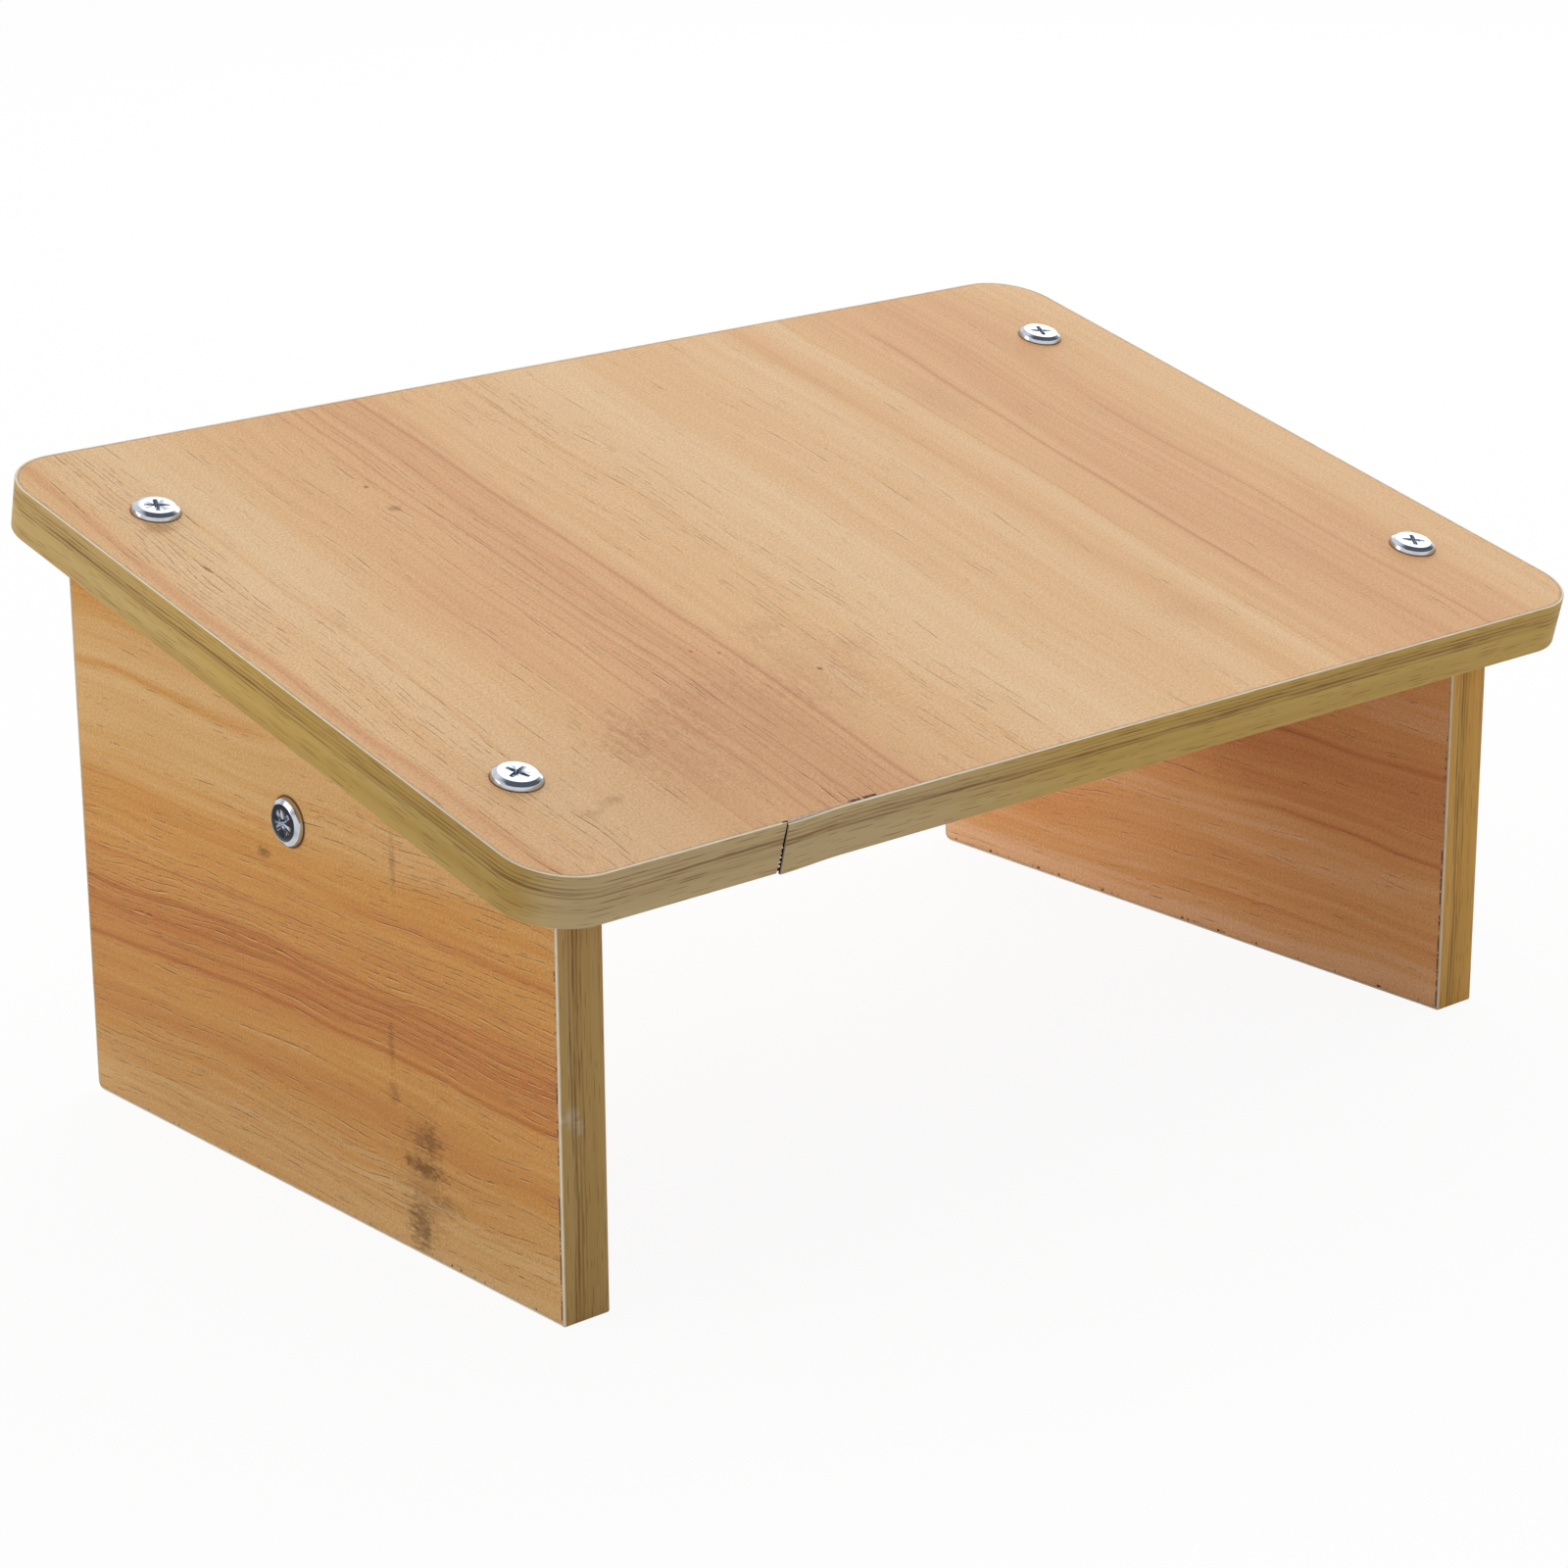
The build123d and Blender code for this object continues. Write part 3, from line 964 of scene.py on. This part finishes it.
def straight_band_material(node, bands, spot, outer, streak, tint):
    """The strip of a straight edge: its broad faces are printed.

    spot is the print's origin and its directions along and across the strip. The plain side of the strip
    is soiled where it lies deeper than about 0.6 mm below its outer face.
    """

    def place_of(bench):
        return print_place(bench, *spot)

    def printed_of(bench, _):
        return abs(bench.normal().dot(spot[2])) < 0.5

    def soil_of(_, place):
        depth = abs(place.parts()[2] - outer)
        return depth.ease(0.5, 0.75) * 0.5

    def dust_of(bench, place):
        return lay_smudges(bench, place, BAND_SCUFFS.get(node, ()))

    return band_material(f"{node}_print", bands, place_of, printed_of, streak, soil_of, dust_of, tint)


def new_piece(name, points, faces, material, sharp=30.0):
    """A piece that stands still, from its points and faces, with smooth shading up to a sharp angle."""
    mesh = bpy.data.meshes.new(name)
    mesh.from_pydata(points, [], faces)
    mesh.materials.append(material)
    mesh.polygons.foreach_set("use_smooth", np.ones(len(mesh.polygons), dtype=bool))
    mesh.set_sharp_from_angle(angle=math.radians(sharp))
    if mesh.validate():
        raise RuntimeError(f"{name} has faulty faces")
    piece = bpy.data.objects.new(name, mesh)
    bpy.context.scene.collection.objects.link(piece)
    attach(piece, "root")
    return piece


def tube_faces(rings, around, first=0):
    """Faces of a tube of rings of points: four-cornered sides between rings, then a cap at either end."""
    ring = np.arange(rings - 1)[:, None] * around
    here = np.arange(around)[None, :]
    after = (here + 1) % around
    corners = (ring + here, ring + after, ring + around + after, ring + around + here)
    sides = np.stack(corners, axis=-1).reshape(-1, 4) + first
    cap = np.arange(around) + first
    return sides.tolist() + [cap[::-1].tolist(), (cap + (rings - 1) * around).tolist()]


def run_lengths(points):
    """How far along a line of points each of them lies."""
    return np.concatenate(((0.0,), np.cumsum(np.linalg.norm(np.diff(points, axis=0), axis=1))))


def rounded(corners, rounding):
    """A line of corners whose inner ones become short parabolas.

    With A and B at the rounding's distance before and after a corner P, the points are
    (1 - t)^2 A + 2 t (1 - t) P + t^2 B for t from 0 to 1.
    """
    corners = np.array(corners, dtype=float)
    before = corners[:-2] - corners[1:-1]
    after = corners[2:] - corners[1:-1]
    first = corners[1:-1] + before * np.minimum(rounding / np.linalg.norm(before, axis=1), 0.45)[:, None]
    last = corners[1:-1] + after * np.minimum(rounding / np.linalg.norm(after, axis=1), 0.45)[:, None]
    t = np.linspace(0, 1, ROUND_STEPS + 1)[None, :, None]
    bends = (1 - t) ** 2 * first[:, None] + 2 * t * (1 - t) * corners[1:-1][:, None] + t**2 * last[:, None]
    return np.concatenate((corners[:1], bends.reshape(-1, corners.shape[1]), corners[-1:]))


def outline_path(half_width, half_depth, radius, start, end, drop_length):
    """Stations round a rounded rectangle, from a start on its front edge to an end on the same edge.

    A corner's points are its centre plus the radius times (cos a, sin a) for a quarter turn of a, and
    the outward direction there is (cos a, sin a) too. The straight runs lie between them.
    """
    quarter = np.linspace(0, np.pi / 2, ARC_STEPS + 1)
    angles = np.concatenate([quarter + np.pi / 2 * turn for turn in (-1, 0, 1, 2)])
    signs = np.repeat(np.array(((1, -1), (1, 1), (-1, 1), (-1, -1))), ARC_STEPS + 1, axis=0)
    outward = np.stack((np.cos(angles), np.sin(angles)), axis=1)
    corners = signs * (half_width - radius, half_depth - radius) + radius * outward
    run = np.linspace(start, start + drop_length, DROP_STEPS + 1)
    begin = np.stack((run, np.full(run.shape, -half_depth)), axis=1)
    front = np.array(((0.0, -1.0),))
    points = np.concatenate((begin, corners, ((end, -half_depth),)))
    return points, np.concatenate((np.repeat(front, len(begin), axis=0), outward, front))


class FOOTREST_OT_faces(Operator):
    """Print the faces of the top, the panels and the rail"""

    bl_idname = "footrest.faces"
    bl_label = "Board Faces"

    def execute(self, context):
        settings = context.scene.footrest.faces
        bands = context.scene.footrest.bands
        head = context.scene.footrest.bolts.head_diameter / 2 / MM
        cover("top_board", top_material(settings, bands, head))
        left = panel_material("left", settings, LEFT_STREAKS, LEFT_SMUDGES, LEFT_PORES, head)
        right = panel_material("right", settings, RIGHT_STREAKS, RIGHT_SMUDGES, RIGHT_PORES, head)
        cover("left_side_panel", left)
        cover("right_side_panel", right)
        low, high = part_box("cross_rail")
        middle = [(a + b) / 2 for a, b in zip(low, high)]
        material, bench, shader, _, colour = faced_material(
            "rail_print", settings, "side", (middle, UP, ACROSS), RAIL_STREAKS, (), 0.5, 1.0
        )
        bench.feed(shader, {"Base Color": colour})
        cover("cross_rail", material)
        return {"FINISHED"}


class FOOTREST_OT_top_band(Operator):
    """Wrap the top's edge in one strip with a butt seam at the front, and bead its glue"""

    bl_idname = "footrest.top_band"
    bl_label = "Top Edge Band"

    def execute(self, context):
        bands = context.scene.footrest.bands
        axes = board_axes()
        low, high = spans("top_edge_band", axes)
        half = (high - low) / 2
        middle = (low + high) / 2
        tall = high[2] - low[2]
        start = bands.seam_place + bands.seam_gap / 2 - middle[0]
        end = bands.seam_place - bands.seam_gap / 2 - middle[0]
        path, outward = outline_path(half[0], half[1], bands.corner_radius, start, end, bands.drop_length)
        along = run_lengths(path)
        climb = np.clip(along / bands.drop_length, 0, 1)
        drop = bands.seam_drop * (1 - climb**2 * (3 - 2 * climb))
        section = rounded(((bands.thickness, 0), (0, 0), (0, tall), (bands.thickness, tall)), bands.trim)
        flat = path[:, None] - outward[:, None] * section[None, :, :1] + middle[:2]
        flat[-1, :, 0] -= bands.seam_slant * (1 - section[:, 1] / tall)
        height = low[2] + section[None, :, 1] - drop[:, None]
        rings = np.concatenate((flat, height[..., None]), axis=-1) @ axes
        faces = [face[::-1] for face in tube_faces(len(path), len(section))]
        material = self.strip_material(bands, axes, low, tall)
        piece = new_piece("top_edge_band", rings.reshape(-1, 3), faces, material)
        self.unroll(piece, along, run_lengths(section), tall)
        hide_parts("top_edge_band")
        self.bead_glue(bands, axes, low, tall)
        return {"FINISHED"}

    def unroll(self, piece, along, across, tall):
        """Give the strip its own coordinates, in millimetres: along it, and across it from its middle.

        Its inner side and its two ends lie past the stretch that is printed.
        """
        count = len(across)
        across = np.append(across, across[-1] + tall) - across[-1] / 2
        steps = np.repeat(np.arange(len(along) - 1), count)
        here = np.tile(np.arange(count), len(along) - 1)
        u = np.stack((along[steps + 1], along[steps + 1], along[steps], along[steps]), axis=1)
        v = np.stack((across[here], across[here + 1], across[here + 1], across[here]), axis=1)
        ends = np.concatenate((np.full(count, along[0]), np.full(count, along[-1])))
        caps = np.stack((ends, np.full(2 * count, tall)), axis=1)
        coordinates = np.concatenate((np.stack((u, v), axis=-1).reshape(-1, 2), caps)) / MM
        layer = piece.data.uv_layers.new(name="band")
        layer.uv.foreach_set("vector", coordinates.astype(np.float32).ravel())

    def strip_material(self, bands, axes, low, tall):
        """The strip's print: painted shade deep in the seam and towards the front of the left run, a darker
        line along its edge next to the face, and dust on its runs that is partly painted sheen at the
        front.
        """
        corner = axes.T @ np.array((bands.seam_place, low[1], low[2]))
        left_edge = (low[0] - bands.seam_place) / MM
        left_run = (left_edge, left_edge + 6.0)
        half_tall = tall / 2 / MM
        printed_half = half_tall - 0.1 * bands.trim / MM

        def from_seam(bench):
            """How far a point lies to the right of the seam and back from the front edge."""
            return print_place(bench, corner, axes[0], axes[1]).parts()[:2]

        def place_of(bench):
            return bench.value("ShaderNodeUVMap", uv_map="band")

        def printed_of(_, place):
            return place.parts()[1].within(-printed_half, printed_half, 0.04)

        def soil_of(bench, place):
            x, y = from_seam(bench)
            # Painted shade: the left run darkens towards the front.
            painted_shade = y.fade(0.0, 150.0) * x.fade(*left_run) * 0.24
            # Painted shade deep in the seam's gap.
            seam = x.within(-1.6, 0.44, 0.03) * y.within(0.4, 3.0, 0.2)
            inner = place.parts()[1].ease(half_tall + 0.35, half_tall + 0.65) * 0.4
            return seam.either(inner).either(painted_shade)

        def dust_of(bench, _):
            x, y = from_seam(bench)
            # The greyish film on the front is partly dust, partly painted sheen.
            front = y.fade(2.0, 14.0) * x.within(-110.0, 75.0, 45.0) * 0.6
            back = x.fade(*left_run) * y.ease(110.0, 230.0) * 0.25
            return front.either(back)

        return band_material("top_band_print", bands, place_of, printed_of, TOP_STRAND, soil_of, dust_of)

    def bead_glue(self, bands, axes, low, tall):
        """Small beads in the seam that cling to its slanted end.

        Each is an ellipsoid r (cos a cos b, cos a sin b, sin a), with a flat cap near either pole.
        """
        material, bench, shader = new_material("seam_glue", {"Roughness": 0.4})
        cloud = print_place(bench).noise((0.3, 0.3, 0.3), 2.0).ease(0.3, 0.7)
        bench.feed(shader, {"Base Color": bench.blend(cloud, bands.glue, bands.cream)})
        rise = np.linspace(-1.5, 1.5, BEAD_RINGS)[:, None]
        turn = np.linspace(0, 2 * np.pi, BEAD_AROUND, endpoint=False)[None, :]
        x = np.cos(rise) * np.cos(turn)
        y = np.cos(rise) * np.sin(turn)
        ball = np.stack((x, y, np.broadcast_to(np.sin(rise), x.shape)), axis=-1)
        sunk = 0.05 * MM
        inward = 0.25 * MM
        points = []
        faces = []
        for index, (up, size) in enumerate(GLUE_BEADS):
            end = bands.seam_place - bands.seam_gap / 2 - bands.seam_slant * (1 - up * MM / tall)
            tip = bands.seam_place - (0.45 - 0.8 * size) * MM
            reach = (tip - end) / 2 + sunk
            middle = np.array((tip - reach, low[1] + inward, low[2] + up * MM))
            bead = (ball * (reach, size * MM, 1.2 * size * MM) + middle) @ axes
            points.append(bead.reshape(-1, 3))
            faces += tube_faces(BEAD_RINGS, BEAD_AROUND, index * BEAD_RINGS * BEAD_AROUND)
        new_piece("seam_glue", np.concatenate(points), faces, material, 60.0)


class FOOTREST_OT_straight_bands(Operator):
    """Print the straight strips of the panels and the rail"""

    bl_idname = "footrest.straight_bands"
    bl_label = "Straight Edge Bands"

    def execute(self, context):
        bands = context.scene.footrest.bands
        for side in ("left", "right"):
            for edge, along in (("front", UP), ("bottom", BACK), ("back", UP)):
                node = f"{side}_{edge}_band"
                low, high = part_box(node)
                middle = ((low[0] + high[0]) / 2, 0, 0)
                outer = {"front": low[1], "back": high[1], "bottom": -low[2]}[edge] / MM
                spot = (middle, along, ACROSS)
                cover(node, straight_band_material(node, bands, spot, outer, SIDE_STRAND, BAND_TINTS[side]))
        for edge in ("upper", "lower"):
            node = f"rail_{edge}_band"
            low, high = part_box(node)
            middle = (0, (low[1] + high[1]) / 2, 0)
            outer = {"upper": high[2], "lower": low[2]}[edge] / MM
            spot = (middle, ACROSS, BACK)
            cover(node, straight_band_material(node, bands, spot, outer, RAIL_STRAND, BAND_TINTS["rail"]))
        return {"FINISHED"}


def cross_outline(angle, span, width, power=9):
    """Radius of a cross: the larger of two arms, each (|cos/a|^n + |sin/b|^n)^(-1/n) for a power n."""
    cos = np.abs(np.cos(angle))
    sin = np.abs(np.sin(angle))
    first = ((2 * cos / span) ** power + (2 * sin / width) ** power) ** (-1 / power)
    second = ((2 * cos / width) ** power + (2 * sin / span) ** power) ** (-1 / power)
    return np.maximum(first, second)


def bolt_rings(sizes, length):
    """Rings of a bolt from its tip to the bottom of its recess, as radius and height at each angle.

    The shank's radius is R - d (1 - cos(2 pi z / p - a)) / 2 at angle a and height z, for the thread's
    outer radius R, depth d and pitch p. The thread fades out below the head. The head is a rounded
    profile turned about the axis, and the recess shrinks from a cross at the flat to a smaller one at
    its floor.
    """
    angle = np.linspace(0, 2 * np.pi, AROUND_STEPS, endpoint=False)[None, :]
    full = np.ones_like(angle)
    outer = sizes.shank_diameter / 2
    plain = 1.0 * MM
    under_head = 0.02 * MM
    z = np.linspace(-length, -under_head, THREAD_RINGS)[:, None]
    wave = (1 - np.cos(2 * np.pi * z / sizes.thread_pitch - angle)) / 2
    fade = np.clip((-z - plain) / plain, 0, 1)
    thread = outer - sizes.thread_depth * wave * fade
    taper = np.clip((z + length) / sizes.tip_chamfer, 0, 1)
    shank = np.minimum(thread, outer - sizes.tip_chamfer * (1 - taper))
    rim = sizes.head_diameter / 2
    flat = sizes.flat_diameter / 2
    top = sizes.head_height
    upright = 0.3 * MM
    flat_ring = 1.2 * MM
    corners = (
        (outer, 0),
        (rim, 0),
        (rim, upright),
        (rim - sizes.rim_lean, sizes.rim_height),
        (flat, top),
        (flat - flat_ring, top),
    )
    head = rounded(corners, 0.2 * MM)
    mouth = cross_outline(angle, sizes.recess_span, sizes.recess_width)
    floor = cross_outline(angle, sizes.recess_floor, 0.8 * sizes.recess_width)
    bottom = top - sizes.recess_depth
    lip = 0.12 * MM
    hollow = 0.1 * MM
    pit = (
        (mouth + lip, top),
        (mouth + lip / 4, top - lip / 4),
        (mouth, top - lip),
        (mouth * 0.45 + floor * 0.55, top * 0.45 + bottom * 0.55),
        (floor, bottom + hollow),
        (floor * 0.9, bottom),
        (floor * 0.3, bottom - hollow),
    )
    radii = np.concatenate((shank, head[:, :1] * full, *[radius for radius, _ in pit]))
    heights = np.concatenate((z * full, head[:, 1:] * full, *[height * full for _, height in pit]))
    return angle, radii, heights


class FOOTREST_OT_bolts(Operator):
    """Turn the threaded bolts with their cross recesses"""

    bl_idname = "footrest.bolts"
    bl_label = "Bolts"

    def execute(self, context):
        sizes = context.scene.footrest.bolts
        material = self.plating(sizes)
        for place, turn in BOLT_TURNS.items():
            node = f"{place}_bolt"
            axes = board_axes()
            if place.endswith("rail"):
                way = -1.0 if place.startswith("left") else 1.0
                axes = np.array(((0.0, way, 0.0), (0.0, 0.0, 1.0), (way, 0.0, 0.0)))
            low, high = spans(node, axes)
            seat = np.array((*(low + high)[:2] / 2, high[2] - sizes.head_height))
            angle, radii, heights = bolt_rings(sizes, seat[2] - low[2])
            turned = angle + math.radians(turn)
            local = np.stack((radii * np.cos(turned), radii * np.sin(turned), heights), axis=-1) + seat
            points = (local @ axes).reshape(-1, 3)
            faces = tube_faces(len(local), AROUND_STEPS)
            piece = new_piece(node, points, faces, material, 35.0)
            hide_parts(node)
        return {"FINISHED"}

    def plating(self, sizes):
        """Bright plating with dull patches and fine scuffs."""
        material, bench, shader = new_material("bolt_plating", {"Metallic": 1.0})
        flat = print_place(bench)
        scuffs = flat.noise((0.7, 0.25, 0.4), 4.0, 0.65)
        stain = flat.noise((2.5, 2.5, 2.5), 2.0).ease(0.35, 0.75)
        inputs = {
            "Base Color": bench.blend(stain * 0.35, sizes.metal, sizes.stain),
            "Roughness": scuffs.scaled(0.12, sizes.roughness - 0.04),
            "Normal": relief(bench, scuffs, 0.004 * MM),
        }
        bench.feed(shader, inputs)
        return material


class FOOTREST_OT_fittings(Operator):
    """Finish the hidden sleeves and dowels"""

    bl_idname = "footrest.fittings"
    bl_label = "Hidden Fittings"

    def execute(self, context):
        sizes = context.scene.footrest.bolts
        metal, bench, shader = new_material("sleeve_metal", {"Metallic": 1.0})
        cloud = print_place(bench).noise((1.5, 1.5, 1.5), 3.0).ease(0.3, 0.75)
        colour = bench.blend(cloud, sizes.sleeve, sizes.sleeve_stain)
        bench.feed(shader, {"Base Color": colour, "Roughness": cloud.scaled(0.2, 0.3)})
        for place in BOLT_TURNS:
            cover(f"{place}_insert", metal)
        wood, bench, shader = new_material("dowel_beech", {"Roughness": 0.65})
        grain = print_place(bench, (0, 0, 0), BACK, ACROSS).noise((0.5, 14.0, 0.5), 3.0, 0.6)
        colour = bench.blend(grain.ease(0.35, 0.7), sizes.dowel, sizes.dowel_grain)
        bench.feed(shader, {"Base Color": colour, "Normal": relief(bench, grain, 0.05 * MM)})
        for side in ("left", "right"):
            cover(f"{side}_dowel", wood)
        return {"FINISHED"}


class FOOTREST_OT_stage(Operator):
    """Set the floor, the light and the camera"""

    bl_idname = "footrest.stage"
    bl_label = "Studio"

    def execute(self, context):
        scene = context.scene
        stage = scene.footrest.stage
        self.lay_floor(scene, stage)
        self.light_world(scene, stage)
        for name in ("key", "low"):
            self.hang_light(scene, stage, name)
        self.place_camera(scene, stage)
        scene.view_settings.view_transform = "Standard"
        return {"FINISHED"}

    def lay_floor(self, scene, stage):
        """A pale floor that looks white to the camera and keeps a soft shadow."""
        half = stage.floor_size / 2
        drop = -0.02 * MM
        mesh = bpy.data.meshes.new("floor")
        corners = [(-half, -half, drop), (half, -half, drop), (half, half, drop), (-half, half, drop)]
        mesh.from_pydata(corners, [], [(0, 1, 2, 3)])
        inputs = {"Base Color": stage.floor_colour, "Roughness": 0.9, "Specular IOR Level": 0.0}
        material, bench, shader = new_material("floor_paper", inputs)
        ways = bench.values("ShaderNodeLightPath")
        seen = ways["Is Camera Ray"].either(ways["Is Glossy Ray"]).either(ways["Is Transmission Ray"])
        x, y, _ = bench.value("ShaderNodeTexCoord", output="Object").parts()
        dim = ways["Is Glossy Ray"] * (x.fade(*DIM_ACROSS) * y.ease(*DIM_BACK))
        glow = bench.value("ShaderNodeEmission", {"Color": WHITE, "Strength": dim.scaled(-FLOOR_DIM, 1.0)})
        share = (seen * FLOOR_GLOW).either(dim)
        paper = Value(bench, shader.outputs[0])
        mixed = bench.value("ShaderNodeMixShader", {0: share, 1: paper, 2: glow})
        bench.feed(material.node_tree.nodes["Material Output"], {"Surface": mixed})
        mesh.materials.append(material)
        floor = bpy.data.objects.new("floor", mesh)
        scene.collection.objects.link(floor)

    def light_world(self, scene, stage):
        """A sky that is brighter behind and white to the camera.

        Metal mirrors white paper, a window behind, one to the side and a dark room above the front.
        """
        world = bpy.data.worlds.new("studio")
        world.use_nodes = True
        bench = Bench(world.node_tree)
        ways = bench.values("ShaderNodeLightPath")
        way = bench.value("ShaderNodeTexCoord", output="Generated")
        back = way.dot(Vector(stage.bright_side).normalized())
        aside = way.dot(Vector(stage.side_window).normalized())
        strength = back.ease(-0.7, 0.8).scaled(stage.back_sky - stage.front_sky, stage.front_sky)
        even = world.node_tree.nodes["Background"]
        bench.feed(even, {"Color": WHITE, "Strength": strength})
        white = bench.value("ShaderNodeBackground", {"Color": WHITE, "Strength": 1.0})
        window = back.ease(0.45, 0.75).either(aside.ease(0.8, 0.92))
        bright = window.either(way.parts()[2].fade(0.15, 0.42))
        mirrored = bright.scaled(1.0 - stage.dark_room, stage.dark_room)
        tone = bench.blend(bright, ROOM_TINT, WHITE)
        room = bench.value("ShaderNodeBackground", {"Color": tone, "Strength": mirrored})
        sky = Value(bench, even.outputs[0])
        lit = bench.value("ShaderNodeMixShader", {0: ways["Is Glossy Ray"], 1: sky, 2: room})
        seen = ways["Is Camera Ray"].either(ways["Is Transmission Ray"])
        mixed = bench.value("ShaderNodeMixShader", {0: seen, 1: lit, 2: white})
        bench.feed(world.node_tree.nodes["World Output"], {"Surface": mixed})
        scene.world = world

    def hang_light(self, scene, stage, name):
        """A square lamp that looks at the footrest."""
        place = Vector(getattr(stage, f"{name}_place"))
        lamp = bpy.data.lights.new(f"{name}_light", "AREA")
        lamp.energy = getattr(stage, f"{name}_power")
        lamp.size = getattr(stage, f"{name}_size")
        light = bpy.data.objects.new(f"{name}_light", lamp)
        light.location = place
        light.rotation_euler = (Vector(stage.aim) - place).to_track_quat("-Z", "Y").to_euler()
        scene.collection.objects.link(light)

    def place_camera(self, scene, stage):
        """A camera at the eye that looks at the target, turned by the roll."""
        camera = bpy.data.objects.new("camera", bpy.data.cameras.new("camera"))
        camera.data.lens = stage.lens
        camera.data.sensor_width = 36.0
        camera.data.clip_end = 100.0
        eye = Vector(stage.eye)
        view = (Vector(stage.target) - eye).to_track_quat("-Z", "Y").to_matrix()
        turn = view @ Matrix.Rotation(stage.roll, 3, "Z")
        camera.matrix_world = Matrix.Translation(eye) @ turn.to_4x4()
        scene.collection.objects.link(camera)
        scene.camera = camera


class FOOTREST_PT_sidebar(Panel):
    """Settings and steps of the footrest"""

    bl_idname = "FOOTREST_PT_sidebar"
    bl_label = "Footrest"
    bl_space_type = "VIEW_3D"
    bl_region_type = "UI"
    bl_category = "Footrest"

    def draw(self, context):
        layout = self.layout
        settings = context.scene.footrest
        for title, group in (
            ("Faces", settings.faces),
            ("Edge bands", settings.bands),
            ("Bolts", settings.bolts),
            ("Studio", settings.stage),
        ):
            box = layout.box()
            box.label(text=title)
            for name in group.__annotations__:
                box.prop(group, name)
        for entry in STEPS:
            layout.operator(entry.bl_idname)


STEPS = (
    FOOTREST_OT_faces,
    FOOTREST_OT_top_band,
    FOOTREST_OT_straight_bands,
    FOOTREST_OT_bolts,
    FOOTREST_OT_fittings,
    FOOTREST_OT_stage,
)
CLASSES = (
    PrintSettings,
    BandSettings,
    BoltSettings,
    StageSettings,
    FootrestSettings,
    *STEPS,
    FOOTREST_PT_sidebar,
)


def register():
    for entry in CLASSES:
        bpy.utils.register_class(entry)
    bpy.types.Scene.footrest = PointerProperty(type=FootrestSettings)


def unregister():
    del bpy.types.Scene.footrest
    for entry in reversed(CLASSES):
        bpy.utils.unregister_class(entry)


def main():
    register()
    bpy.ops.footrest.faces()
    bpy.ops.footrest.top_band()
    bpy.ops.footrest.straight_bands()
    bpy.ops.footrest.bolts()
    bpy.ops.footrest.fittings()
    bpy.ops.footrest.stage()


if __name__ == "__main__":
    main()
